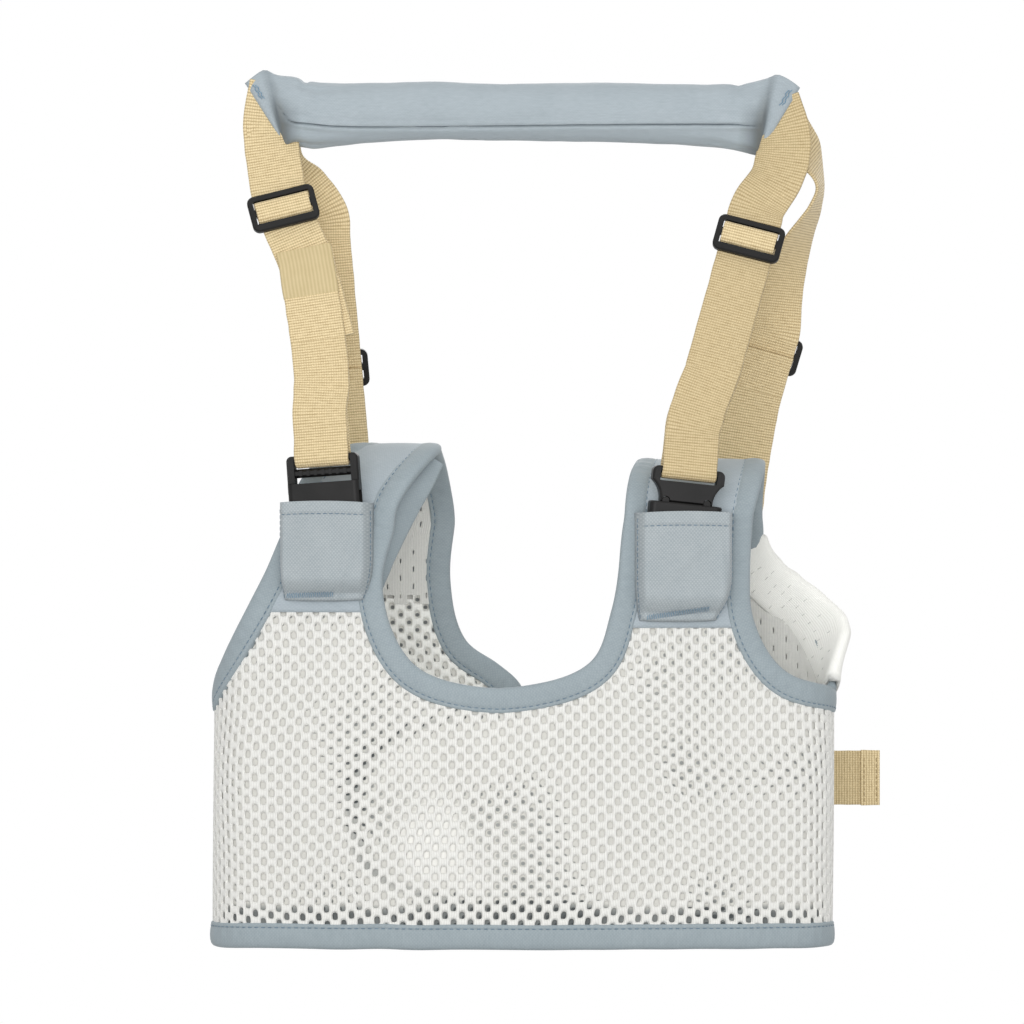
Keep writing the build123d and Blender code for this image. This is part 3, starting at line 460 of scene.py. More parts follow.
def pierced(name, middles, place, tile, hole, rim, deep, finish, slot, **more):
    """Cloth knitted with holes: tiles that share their edges, each with a flat rim, a rounded lip and a wall.
    place turns (first, second, out) on the flat cloth into places in space."""
    rings = [
        (TILE * tile, 0.0),
        (hole * 1.1 + np.sign(hole) * rim, 0.0),
        (hole * 1.1, -0.1 * deep),
        (hole, -0.3 * deep),
        (hole * 0.82 + [-0.1, -0.12], -deep),
    ]
    flats = [np.broadcast_to(shape, (len(middles), len(hole), 2)) + middles[:, None] for shape, _ in rings]
    flats = np.concatenate(flats, 1)
    outs = np.concatenate([np.full(len(hole), out) for _, out in rings])
    outs = np.broadcast_to(outs, flats.shape[:2])
    corners = place(flats[..., 0], flats[..., 1], outs).reshape(-1, 3)
    uv = flats.reshape(-1, 2)
    starts = np.arange(len(middles)) * flats.shape[1]
    faces = (grid_faces(len(rings), len(hole), True)[None] + starts[:, None, None]).reshape(-1, 4)
    known = np.round(np.c_[uv, outs.reshape(-1)], 2)
    _, first, same = np.unique(known, axis=0, return_index=True, return_inverse=True)
    return piece(name, corners[first], same.ravel()[faces], finish, slot, uv=uv[first], **more)


def lattice(s0, s1, z0, z1, wide, tall):
    """Middles of tiles, every other column moved by half a tile."""
    found = []
    for n in range(math.ceil(s0 / wide), math.floor(s1 / wide) + 1):
        rows = np.arange(math.floor(z0 / tall), math.ceil(z1 / tall) + 1) + 0.5 * (n % 2)
        found.append(np.stack([np.full(len(rows), n * wide), rows * tall], -1))
    return np.concatenate(found)


# Materials -----------------------------------------------------------------------------------------------


def linear(hex_colour):
    """An sRGB hex colour as the linear colour that nodes take."""
    parts = [int(hex_colour[n : n + 2], 16) / 255 for n in (1, 3, 5)]
    return (*[p / 12.92 if p <= 0.04045 else ((p + 0.055) / 1.055) ** 2.4 for p in parts], 1)


def node(tree, kind, inputs=None, stops=(), **fields):
    """Adds a node with its fields; inputs take a constant, a node or an output, and stops colour a ramp."""
    made = tree.nodes.new("ShaderNode" + kind)
    for key, value in fields.items():
        setattr(made, key, value)
    for key, value in (inputs or {}).items():
        if isinstance(value, bpy.types.Node):
            value = value.outputs[0]
        if isinstance(value, bpy.types.NodeSocket):
            tree.links.new(value, made.inputs[key])
        else:
            made.inputs[key].default_value = value
    for n, (place, colour) in enumerate(stops):
        stop = made.color_ramp.elements[n] if n < 2 else made.color_ramp.elements.new(place)
        stop.position, stop.color = place, linear(colour)
    return made


FINISHES = {}
ONE_WAVE = 0.3142  # scale at which a wave texture has one band for each unit of its map


def material(name, **constants):
    """A material and its shader, ready for its nodes; constants go on the shader's own sockets."""
    made = bpy.data.materials.new(name)
    made.use_nodes = True
    tree = made.node_tree
    tree.nodes.clear()
    shader = node(tree, "BsdfPrincipled", {key.replace("_", " "): value for key, value in constants.items()})
    node(tree, "OutputMaterial", {"Surface": shader})
    FINISHES[name] = made
    return tree, shader


def finish_shader(tree, shader, colour, height, depth, strength=0.8):
    """Joins a pattern's colour and its height, in metres, to the shader."""
    relief = node(tree, "Bump", {"Height": height, "Distance": depth, "Strength": strength})
    colour = colour.outputs[0] if isinstance(colour, bpy.types.Node) else colour
    tree.links.new(colour, shader.inputs["Base Color"])
    tree.links.new(relief.outputs[0], shader.inputs["Normal"])


def moulded_acetal():
    """Injection-moulded acetal: a dark, slightly waxy black with a fine spark-eroded grain."""
    tree, shader = material("moulded_acetal", Roughness=0.45, IOR=1.48, Specular_IOR_Level=0.25)
    spot = node(tree, "TexCoord").outputs["Object"]
    grain = node(tree, "TexNoise", {"Vector": spot, "Scale": 2400.0, "Detail": 2.0})
    cloud = node(tree, "TexNoise", {"Vector": spot, "Scale": 60.0, "Detail": 3.0})
    colour = node(tree, "ValToRGB", {0: cloud}, [(0.35, "#101010"), (0.7, "#1b1a1a")])
    finish_shader(tree, shader, colour, grain, 0.00006, 0.6)


def crossings(tree, across, along, turned=45.0):
    """1 on a lattice of soft dots, across and along apart in millimetres before it is turned; 0 between."""
    spot = node(tree, "TexCoord").outputs["UV"]
    scale, turn = (1000 / across, 1000 / along, 1), (0, 0, math.radians(turned))
    threads = node(tree, "Mapping", {"Vector": spot, "Scale": scale, "Rotation": turn})
    inputs = {"Vector": threads, "Scale": ONE_WAVE}
    waves = [node(tree, "TexWave", inputs, bands_direction=way).outputs["Fac"] for way in "XY"]
    return node(tree, "Math", {0: waves[0], 1: waves[1]}, operation="MULTIPLY")


def on_cloth(tree, kind, across=1000.0, along=1000.0, **inputs):
    """A pattern on the piece's own map, in features per metre."""
    spot = node(tree, "TexCoord").outputs["UV"]
    threads = node(tree, "Mapping", {"Vector": spot, "Scale": (across, along, 1)})
    inputs = {key.replace("_", " "): value for key, value in inputs.items()}
    return node(tree, kind, {"Vector": threads, **inputs})


def shade_painted_by_mark(tree, colour, shade_colour):
    """Painted shade: a colour that turns to the given darker one as far as the piece's fold marks say that it
    lies in shade.
    """
    fold = node(tree, "Attribute", attribute_name="fold").outputs["Fac"]
    return node(tree, "Mix", {0: fold, 6: colour, 7: linear(shade_colour)}, data_type="RGBA").outputs[2]


def webbing(look):
    """Woven polyester webbing: rows of pale beads across its width, with a small shaded gap between them."""
    tree, shader = material("webbing", Roughness=0.65, Sheen_Weight=0.15, Sheen_Roughness=0.5)
    bead, row = 1.1, 1.25
    beads = crossings(tree, bead, row, 0.0)
    weft = on_cloth(tree, "TexWave", 1000, 1000 / row, Scale=ONE_WAVE)
    weft.bands_direction = "Y"
    slub = on_cloth(tree, "TexNoise", 300, 900, Scale=0.9, Detail=4.0)
    rows = node(tree, "Mix", {0: 0.28, 2: beads, 3: weft.outputs["Fac"]}, data_type="FLOAT")
    mixed = node(tree, "Mix", {0: 0.35, 2: rows, 3: slub}, data_type="FLOAT")
    colour = node(tree, "ValToRGB", {0: mixed}, [(0.08, look.webbing_shade), (0.5, look.webbing_colour)])
    # Painted shade: the webbing darkens towards #8a764b where its fold marks say that it lies in shade.
    finish_shader(tree, shader, shade_painted_by_mark(tree, colour, "#8a764b"), mixed, 0.00035, 0.8)


def sealed_webbing():
    """Heat-sealed end of polyester webbing: its beads melted flat, so that only its ribs show."""
    tree, shader = material("sealed_webbing", Roughness=0.5)
    ribs = on_cloth(tree, "TexWave", 600, 600, Scale=ONE_WAVE, Distortion=0.6)
    cloud = on_cloth(tree, "TexNoise", 120, 120, Scale=1.0, Detail=3.0)
    mixed = node(tree, "Mix", {0: 0.5, 2: ribs.outputs["Fac"], 3: cloud}, data_type="FLOAT")
    stops = [(0.2, "#b9a679"), (0.8, "#cbb98e")]
    finish_shader(tree, shader, node(tree, "ValToRGB", {0: mixed}, stops), mixed, 0.00005, 0.5)


def plain_weave(name, light, dark, pitch, contrast=0.3, roughness=0.75):
    """Woven polyester: fine threads crossing, some a little paler, so that it looks faintly hatched, and
    darkened by painted shade where its fold marks say that it lies in a deep fold or in shade."""
    tree, shader = material(name, Roughness=roughness, Sheen_Weight=0.1, Sheen_Roughness=0.5)
    slant = pitch * 1.414  # the dots lie on the slant, one thread across and one along from each other
    dots = crossings(tree, slant, slant)
    slub = on_cloth(tree, "TexNoise", 350, 1600, Scale=0.8, Detail=4.0, Roughness=0.65)
    wear = on_cloth(tree, "TexNoise", 60, 60, Scale=1.0, Detail=3.0)
    threads = node(tree, "Mix", {0: contrast, 2: slub, 3: dots}, data_type="FLOAT")
    mixed = node(tree, "Mix", {0: 0.25, 2: threads, 3: wear}, data_type="FLOAT")
    colour = node(tree, "ValToRGB", {0: mixed}, [(0.22, dark), (0.72, light)])
    finish_shader(tree, shader, shade_painted_by_mark(tree, colour, "#6a7276"), mixed, 0.0001)


def air_mesh(name, light, dark):
    """Knitted spacer mesh: short vertical ribs of soft bright yarn between its holes."""
    tree, shader = material(name, Roughness=0.8, Sheen_Weight=0.2, Sheen_Roughness=0.6)
    ribs = on_cloth(tree, "TexWave", Scale=0.42, Distortion=1.2, Detail=1.0, Detail_Scale=0.6)
    cloud = on_cloth(tree, "TexNoise", Scale=0.9, Detail=3.0)
    mixed = node(tree, "Mix", {0: 0.45, 2: ribs.outputs["Fac"], 3: cloud}, data_type="FLOAT")
    colour = node(tree, "ValToRGB", {0: mixed}, [(0.1, dark), (0.75, light)])
    finish_shader(tree, shader, colour, mixed, 0.00016, 0.7)


def under_layer():
    """Inner layer of the spacer mesh, seen through its holes: pale knit with painted shade, whose own holes
    and then its whole face are painted darker the freer it hangs before what is behind it, and white where it
    is pressed on the pad."""
    tree, shader = material("mesh_under_layer", Roughness=0.9)
    column, row = 7.6, 6.94
    gap = node(tree, "Attribute", attribute_name="gap").outputs["Fac"]
    across = on_cloth(tree, "TexWave", 1000 / column, 1000 / row, Scale=ONE_WAVE)
    along = on_cloth(tree, "TexWave", 1000 / column, 1000 / row, Scale=ONE_WAVE)
    along.bands_direction = "Y"
    signed = [
        node(tree, "Math", {0: wave.outputs["Fac"], 1: 2.0, 2: -1.0}, operation="MULTIPLY_ADD")
        for wave in (across, along)
    ]
    holes = node(tree, "Math", {0: signed[0], 1: signed[1]}, operation="MULTIPLY")
    holes = node(tree, "MapRange", {0: holes, 1: 0.58, 2: 0.85})
    # Painted shade: the holes, and then the whole face, darken down to #494d4e as the gap mark grows.
    held = node(tree, "Math", {0: gap, 1: 1.0}, operation="MINIMUM")
    through = node(tree, "Math", {0: holes, 1: held}, operation="MULTIPLY")
    free = node(tree, "Math", {0: gap, 1: -1.0}, operation="ADD", use_clamp=True)
    cloud = on_cloth(tree, "TexNoise", Scale=0.3, Detail=2.0)
    pale = node(tree, "MapRange", {0: gap, 1: 0.0, 2: 0.35, 3: 0.0, 4: 0.24})
    total = node(tree, "Math", {0: through, 1: 0.7, 2: pale}, operation="MULTIPLY_ADD")
    total = node(tree, "Math", {0: free, 1: 0.72, 2: total}, operation="MULTIPLY_ADD", use_clamp=True)
    stops = [(0.0, "#efeee9"), (1.0, "#494d4e"), (0.26, "#d0cfc9"), (0.6, "#8f9290")]
    finish_shader(tree, shader, node(tree, "ValToRGB", {0: total}, stops), cloud, 0.0001, 0.5)


def sewing_thread(name, colour, shade):
    """Spun polyester sewing thread with a soft lustre."""
    tree, shader = material(name, Roughness=0.5, Sheen_Weight=0.3)
    spot = node(tree, "TexCoord").outputs["Object"]
    ply = node(tree, "TexNoise", {"Vector": spot, "Scale": 1800.0})
    colours = node(tree, "ValToRGB", {0: ply}, [(0.3, shade), (0.7, colour)])
    finish_shader(tree, shader, colours, ply, 0.0001, 0.5)


# Sizes and colours ---------------------------------------------------------------------------------------


def size(name, description, default, **more):
    return bpy.props.FloatProperty(name=name, description=description, default=default, unit="LENGTH", **more)


def colour_code(name, description, default):
    return bpy.props.StringProperty(name=name, description=description, default=default)


class HarnessClothSizes(bpy.types.PropertyGroup):
    tile_width: size("Mesh column", "From one column of the air mesh's holes to the next", 0.0038)
    tile_height: size("Mesh hole pitch", "From one hole of a column to the next", 0.00694)
    mesh_depth: size("Mesh depth", "Depth of a hole down to the inner layer", 0.0012)
    binding_width: size("Binding width", "How far the tape reaches over the cloth", 0.0104)
    binding_pucker: bpy.props.FloatProperty(
        name="Pucker",
        description="Share by which the tape swells between stitches",
        default=0.1,
        subtype="FACTOR",
        min=0,
        max=0.4,
    )
    stitch_pitch: size("Stitch pitch", "From one stitch to the next", 0.0031)
    cloth_thickness: size("Cloth thickness", "Thickness of pocket and yoke cloth", 0.0009)
    pocket_height: size("Pocket swell", "How far a pocket stands off the vest over its buckle", 0.0127)


class HarnessHandleSizes(bpy.types.PropertyGroup):
    depth: size("Grip depth", "Depth of the padded grip", 0.025)
    wrinkle: size("Wrinkle", "How far the sleeve's wrinkles rise", 0.0007)
    seam_drop: size("Seam drop", "How far the long seam lies below the middle", 0.0069)


class HarnessFinishes(bpy.types.PropertyGroup):
    webbing_colour: colour_code("Webbing", "Colour of the straps, sRGB hex", "#e8d4a8")
    webbing_shade: colour_code("Webbing shade", "Colour between the weave's beads, sRGB hex", "#a58d60")
    cloth_colour: colour_code("Cloth", "Lighter thread of the yokes, sRGB hex", "#b1bac0")
    cloth_shade: colour_code("Cloth shade", "Darker thread of the yokes, sRGB hex", "#99a5ac")
    pocket_colour: colour_code("Pocket", "Paler thread of the pockets' two-tone cloth, sRGB hex", "#b4babc")
    pocket_shade: colour_code("Pocket shade", "Darker thread of the pockets' cloth, sRGB hex", "#929ca1")
    tape_colour: colour_code("Tape", "Lighter thread of the binding tape, sRGB hex", "#9faaaf")
    tape_shade: colour_code("Tape shade", "Darker thread of the binding tape, sRGB hex", "#89959b")
    sleeve_colour: colour_code("Sleeve", "Lighter thread of the handle's sleeve, sRGB hex", "#abb5bb")
    sleeve_shade: colour_code("Sleeve shade", "Darker thread of the handle's sleeve, sRGB hex", "#949fa5")
    mesh_colour: colour_code("Air mesh", "Bright yarn of the air mesh, sRGB hex", "#eeeeea")
    mesh_shade: colour_code("Air mesh shade", "Shaded yarn of the air mesh, sRGB hex", "#cfcec9")


def settings():
    scene = bpy.context.scene
    return scene.harness_cloth, scene.harness_handle, scene.harness_finishes


# Pieces --------------------------------------------------------------------------------------------------


class HARNESS_OT_finishes(bpy.types.Operator):
    """Makes the materials and gives the moulded hardware its own"""

    bl_idname = "harness.finishes"
    bl_label = "Finishes and hardware"

    def execute(self, context):
        look = context.scene.harness_finishes
        moulded_acetal()
        webbing(look)
        sealed_webbing()
        air_mesh("air_mesh", look.mesh_colour, look.mesh_shade)
        air_mesh("lining", "#dfdfda", "#c9c9c4")
        # Painted light: a brighter copy of the air mesh for the faces that lie in shade inside the vest.
        air_mesh("painted_light_mesh", "#fdfdf8", "#f0f0ea")
        under_layer()
        plain_weave("vest_cloth", look.cloth_colour, look.cloth_shade, 0.8, 0.25)
        plain_weave("pocket_cloth", look.pocket_colour, look.pocket_shade, 0.85, 0.5)
        plain_weave("binding_tape", look.tape_colour, look.tape_shade, 0.8, 0.25)
        plain_weave("sleeve_cloth", look.sleeve_colour, look.sleeve_shade, 0.7, 0.2, 0.7)
        plain_weave("padding", "#f0f0ec", "#d9d9d4", 1.1)
        sewing_thread("thread", "#6f8798", "#536a7b")
        sewing_thread("blue_thread", "#7597ae", "#5c7f97")
        # Painted shade: pale grey capsules that stand for the shade inside the lining's slits.
        sewing_thread("slit_shade", "#cfd0cb", "#bfc0bb")
        # Partly real thread, partly painted shadow: darker than the seam's thread, to draw the shadow line
        # down in the handle's seam.
        sewing_thread("seam_thread_and_shadow", "#58666f", "#434f57")
        sewing_thread("tan_thread", "#b39c6d", "#8f7a4e")
        for name, obj in NODES.items():
            slide = name.startswith("slide") and not name.endswith("webbing")
            buckle = "buckle_" in name and "tab" not in name
            if slide or buckle:
                give(obj, "moulded_acetal")
        give(NODES["back_rings"], "moulded_acetal")
        return {"FINISHED"}


def give(obj, finish):
    if not obj.material_slots:
        obj.data.materials.append(FINISHES[finish])
    for slot in obj.material_slots:
        slot.material = FINISHES[finish]


# Where the chest pad lies behind the front mesh.
PAD_X, PAD_Z = 1.5, -316.0
PAD_HALF_WIDTH, PAD_HALF_HEIGHT = 76.0, 41.0


def add_under_layer(name, outline, side, limit):
    """Plain inner layer behind a pierced sheet, which marks how freely it hangs before what is behind it: the
    amount of painted shade that its finish gives it.
    """
    low, high, pitch = outline.min(0), outline.max(0), 3.0
    first, last = np.arange(low[0], high[0] + pitch, pitch), np.arange(low[1], high[1] + pitch, pitch)
    s, z = (a.ravel() for a in np.meshgrid(first, last))
    faces = grid_faces(len(last), len(first))
    keep = within(outline, np.stack([s, z], -1)) > 1.0
    keep &= (np.abs(s) <= QUARTER + 1) if side == 0 else (np.abs(s) >= QUARTER - 1)
    keep &= z < limit(s)
    faces = faces[keep[faces].all(1)]
    used, faces = np.unique(faces, return_inverse=True)
    s, z, faces = s[used], z[used], faces.reshape(-1, 4)
    flat = np.stack([s, z], -1)
    made = piece(name, on_wall(s, z, -PANEL / 2), faces, "mesh_under_layer", "air_mesh", uv=flat)
    # Painted shade: the gap mark darkens the layer towards the hem, in a band round the pad's outline on the
    # left, under the tape at the upper left and over the back wings, and less where it touches the pad.
    gap = 0.5 + 0.25 * noise(s / 19, z / 13, s / 11 - z / 17) + 1.3 * np.clip((HEM + 21 - z) / 5, 0, 1)
    if side == 0:
        x = wall(s)[0]
        rise, bluff = z - PAD_Z, 2.6
        pad = np.abs((x - PAD_X) / PAD_HALF_WIDTH) ** bluff + np.abs(rise / PAD_HALF_HEIGHT) ** bluff
        pad = pad ** (1 / bluff)
        left = np.clip(0.75 - x / 80 + 0.25 * noise(x / 9, z / 7), 0, 1)
        touching = np.clip(1.5 - np.abs(x + 48 + 0.4 * rise) / 18, 0, 1) * (pad < 0.97)
        gap = gap + 0.8 * np.clip(1.15 - np.abs(pad - 1.04) * 9, 0, 1) * left - 0.42 * touching
        under_tape = np.clip(1 - np.abs(within(outline, flat) - 7) / 5, 0, 1)
        gap = gap + 0.6 * under_tape * (z > -262) * (x < 0)
    else:
        gap = gap + 0.45
    mark(made, "gap", np.clip(gap, 0.02, 2))
    return made


class HARNESS_OT_mesh_panels(bpy.types.Operator):
    """Knits the front and back panels from air mesh with its rows of holes"""

    bl_idname = "harness.mesh_panels"
    bl_label = "Air mesh panels"

    def execute(self, context):
        cloth, _, _ = settings()
        wide, tall, deep = (1000 * v for v in (cloth.tile_width, cloth.tile_height, cloth.mesh_depth))
        tile = np.array([wide, tall])
        spare = 6  # how far the knit is laid out past the outline before it is trimmed
        tucked = 4.2  # how far inside the edge the middle of the last hole stays
        rim = 0.06
        for name, outline, side, limits in (
            ("front_mesh", front_outline(), 0, (YOKE["front_left"], YOKE["front_right"])),
            ("back_mesh_left", back_outline(-1), -1, (YOKE["back_left"], 0)),
            ("back_mesh_right", back_outline(1), 1, (0, YOKE["back_right"])),
        ):
            def limit(s, limits=limits):
                return np.where(s < 0, limits[0], limits[1]) + 4

            def inner_limit(s, limit=limit, foot=LINING_FOOT[name]):
                return np.maximum(limit(s), foot + 6)

            low, high = outline.min(0) - spare, outline.max(0) + spare
            middles = lattice(low[0], high[0], low[1], high[1], wide, tall)
            sewn = np.stack(drape(middles[:, 0], middles[:, 1]), -1)
            keep = within(outline, sewn) > tucked
            keep &= (np.abs(sewn[:, 0]) < QUARTER) if side == 0 else (np.abs(sewn[:, 0]) >= QUARTER)
            inside = keep & (sewn[:, 1] < LINING_FOOT[name] + 2)
            keep &= sewn[:, 1] < limit(sewn[:, 0])
            behind = add_under_layer(name + "_under", outline, side, inner_limit)
            made = pierced(
                name, middles[keep], lambda s, z, out: on_wall(*drape(s, z), out),
                tile, HOLE, rim, deep, "air_mesh", "air_mesh", stands_for=[name],
            )
            # The inner face gets the brighter copy of the air mesh: painted light where it lies in shade
            # inside the vest.
            inner = pierced(
                name + "_inner", middles[inside], lambda s, z, out: on_wall(*drape(s, z), -PANEL - out),
                tile, HOLE, rim, deep, "painted_light_mesh", "air_mesh",
            )
        return {"FINISHED"}


class HARNESS_OT_shoulders(bpy.types.Operator):
    """Cuts each yoke and shoulder as one strip of cloth, with its perforated lining"""

    bl_idname = "harness.shoulders"
    bl_label = "Yokes and shoulders"

    def execute(self, context):
        cloth, _, _ = settings()
        for side, shoulder in (("left", LEFT_SHOULDER), ("right", RIGHT_SHOULDER)):
            place, length, width = yoke_strip(side, shoulder)
            columns, rows = 27, int(length / 2)
            beside, along = np.meshgrid(np.linspace(-0.97, 0.97, columns), np.linspace(0, length, rows))
            corners = place(beside.ravel(), along.ravel(), 0.35 + 0 * beside.ravel())
            uv = np.stack([beside.ravel() * width / 2, along.ravel()], -1)
            made = piece(
                f"shoulder_cloth_{side}", corners, grid_faces(rows, columns), "vest_cloth", "vest_cloth",
                uv=uv, stands_for=[f"front_yoke_{side}", f"shoulder_{side}", f"back_yoke_{side}"],
            )
            finish_with(made, "SOLIDIFY", thickness=cloth.cloth_thickness, offset=-1)
            sew_lining(side, place, length, width)
        return {"FINISHED"}


def yoke_strip(side, shoulder):
    """place(beside, along, out) over front yoke, arch and back yoke, its length and its width."""
    left = side == "left"
    neck = edge(FRONT_NECK)
    middle = neck[np.argmin(neck[:, 1])][0]
    front_neck = neck[neck[:, 0] < middle] if left else neck[neck[:, 0] > middle]
    front_arm = edge(FRONT_ARM_LEFT if left else FRONT_ARM_RIGHT)
    back_neck = edge(BACK_NECK_LEFT, -1) if left else edge(BACK_NECK_RIGHT, 1)
    back_arm = edge(BACK_ARM_LEFT, -1) if left else edge(BACK_ARM_RIGHT, 1)
    turns = np.linspace(0, math.pi, 200)
    arch = travelled(shoulder.station(turns)[0])
    front, back = SPRING - YOKE["front_" + side], SPRING - YOKE["back_" + side]
    length = front + arch[-1] + back

    def between(arm, neck, z, beside):
        ends = []
        for line in (arm, neck):
            line = line[np.argsort(line[:, 1])]
            ends.append(np.interp(z, line[:, 1], line[:, 0]))
        low, high = (ends[0], ends[1]) if side == "left" else (ends[1], ends[0])
        return low + (high - low) * (beside + 1) / 2

    def place(beside, along, out):
        turn = np.interp(along - front, arch, turns)
        spots = shoulder.at(turn, beside, out)
        z = YOKE["front_" + side] + along
        on_front = on_wall(between(front_arm, front_neck, z, beside), z, out)
        z = SPRING - (along - front - arch[-1])
        on_back = on_wall(between(back_arm, back_neck, z, beside), z, out)
        spots = np.where((along < front)[..., None], on_front, spots)
        return np.where((along > front + arch[-1])[..., None], on_back, spots)

    width = float(np.mean([2 * shoulder.station(t)[4] for t in (0, math.pi / 2, math.pi)]))
    return place, length, width


def sew_lining(side, place, length, width):
    """Perforated lining on the wearer's side: over the arch, and down inside the front and the back."""
    wide, tall, reach = 6.0, 8.0, width / 2
    rim, deep = 0.3, 0.7
    lap = 15  # how far the arch's lining passes behind that of the panels
    tile = np.array([wide, tall])
    middles = lattice(-reach, reach, 0, length, wide, tall)
    front, back = SPRING - YOKE["front_" + side], SPRING - YOKE["back_" + side]
    keep = np.abs(middles[:, 0]) < reach - 1
    keep &= (middles[:, 1] > front - lap) & (middles[:, 1] < length - back + lap)

    def over_arch(across, along, out):
        return place(np.clip(across / reach, -1, 1), along, -PANEL - 0.2 - out)

    def inside_panel(s, z, out):
        return on_wall(s, z, -PANEL - 0.3 - out)

    arch = pierced(
        f"lining_over_{side}", middles[keep], over_arch, tile, SLIT, rim, deep, "lining", "lining",
        stands_for=[f"shoulder_lining_{side}"],
    )
    turned = -1 if side == "left" else 1
    for name, outline, foot in (
        ("front", front_outline(), LINING_FOOT["front_mesh"]),
        ("back", back_outline(turned), LINING_FOOT[f"back_mesh_{side}"]),
    ):
        low, high = outline.min(0), outline.max(0)
        middles = lattice(low[0], high[0], foot, SPRING, wide, tall)
        keep = (within(outline, middles) > 3.5) & (middles[:, 1] > foot) & (middles[:, 1] < SPRING - 1)
        if name == "front":
            keep &= middles[:, 0] * turned > 0
        made = pierced(
            f"lining_{name}_{side}", middles[keep], inside_panel, tile, SLIT, rim, deep, "lining", "lining"
        )


# The tape's and the roll's cross-sections, as (into the cloth from its edge, out of the cloth).
TAPE = [(10.4, 1.5), (9.8, 2.15), (9.0, 2.35), (8.5, 2.0), (8.0, 2.4), (6.4, 2.6), (4.2, 2.7), (2.0, 2.6)]
TAPE += [(0.4, 2.2), (-0.6, 1.4), (-0.95, 0.5)]
TAPE += [(into, -out) for into, out in reversed(TAPE)]
ROLL = [(16, -2.0), (15, -3.1), (12.5, -3.7), (8, -3.8), (4, -3.8), (0, -3.7), (-3, -3.2), (-5.2, -2.1)]
ROLL += [(-6.2, -0.3), (-5.6, 1.6), (-3.6, 3.1), (0, 3.8), (4, 3.5), (7, 2.8), (7, 2.2), (3, 2.4), (0, 1.6)]
ROLL += [(0, -1.6), (8, -1.7)]


def wall_line(line):
    """Places and outward ways along an edge of (s, z), in the middle of the panel's thickness."""
    return on_wall(line[:, 0], line[:, 1], -PANEL / 2), way_out(line[:, 0])


def arch_line(shoulder, side, from_front=True):
    spots, outs = shoulder.edge(side)
    spots = spots - outs * PANEL / 2
    return (spots, outs) if from_front else (spots[::-1], outs[::-1])


def joined(parts, closed=False):
    """One even line through several, with smoothly turning outward ways."""
    spots = np.concatenate([p for p, _ in parts])
    outs = np.concatenate([o for _, o in parts])
    keep = np.concatenate([[True], np.linalg.norm(np.diff(spots, axis=0), axis=1) > 0.4])
    line = np.concatenate([spots, outs], -1)[keep]
    if closed:
        line = np.concatenate([line, line[:1]])
    line = even(line, 1.0)
    if closed:
        line = line[:-1]
    for _ in range(6):
        near = [np.roll(line, 1, 0), np.roll(line, -1, 0)]
        eased = (near[0] + 2 * line + near[1]) / 4
        if not closed:
            eased[0], eased[-1] = line[0], line[-1]
        line = eased
    return line[:, :3], unit(line[:, 3:])


def bind(name, parts, sign, cloth, closed=False):
    """Folds tape over an edge and sews it down on both faces."""
    spots, outs = joined(parts, closed)
    ahead = ways_along(spots, closed)
    inwards = unit(np.cross(outs, ahead)) * sign
    outs = unit(np.cross(ahead, inwards)) * sign
    sweep(
        name, spots, outs, inwards, TAPE, "binding_tape", "binding_tape",
        closed=closed, pucker=cloth.binding_pucker, stands_for=[name],
    )
    pitch = 1000 * cloth.stitch_pitch
    for face, height in (("out", 2.25), ("in", -2.25)):
        line = spots + inwards * 8.5 + outs * height
        stitches(f"{name}_stitches_{face}", line, outs * np.sign(height), pitch, slot="binding_tape")


def roll_wing():
    """The right back wing's lining, which rolls outwards over its armhole edge."""
    line = edge(BACK_ARM_RIGHT, 1)
    spots, outs = joined([wall_line(line[line[:, 1] < SPRING - 5])])
    ahead = ways_along(spots)
    inwards = unit(np.cross(outs, ahead))
    outs = unit(np.cross(ahead, inwards))
    share = travelled(spots) / travelled(spots)[-1]
    swell = np.clip(share / 0.2, 0, 1) ** 0.5
    flat = np.array(ROLL, float)
    section = flat[None] * (0.25 + 0.75 * swell)[:, None, None]
    spread = 9.0 * np.exp(-(((spots[:, 2] + 243) / 17) ** 2)) + 0.5 * noise(share * 17, share * 29)
    edge_share = np.clip((9 - section[..., 0]) / 12, 0, 1)
    into = section[..., 0] - spread[:, None] * edge_share
    corners = spots[:, None] + inwards[:, None] * into[..., None] + outs[:, None] * section[..., 1:]
    corners[..., 0] += 4.5 * np.exp(-(((spots[:, 2:] + 240) / 15) ** 2)) * edge_share
    # The rolled lining gets the brighter copy of the air mesh: painted light on a face that lies in shade.
    tube("lining_roll_right", corners, flat, travelled(spots), "painted_light_mesh", "lining")
    # Painted shade: the slits are pale grey capsules on the roll that stand for the shade inside them.
    slits, slit_faces = [], []
    for n in range(14, len(spots) - 6, 5):
        for column in (2, 4, 5) if n % 2 else (3, 4):
            spot = corners[n, column] - outs[n] * 0.02
            way = unit(corners[n, column + 1] - corners[n, column])
            thread_between(slits, slit_faces, spot - way * 0.9, spot + way * 0.9, 0.16)
    solid("lining_roll_slits", slits, slit_faces, "slit_shade", "lining")


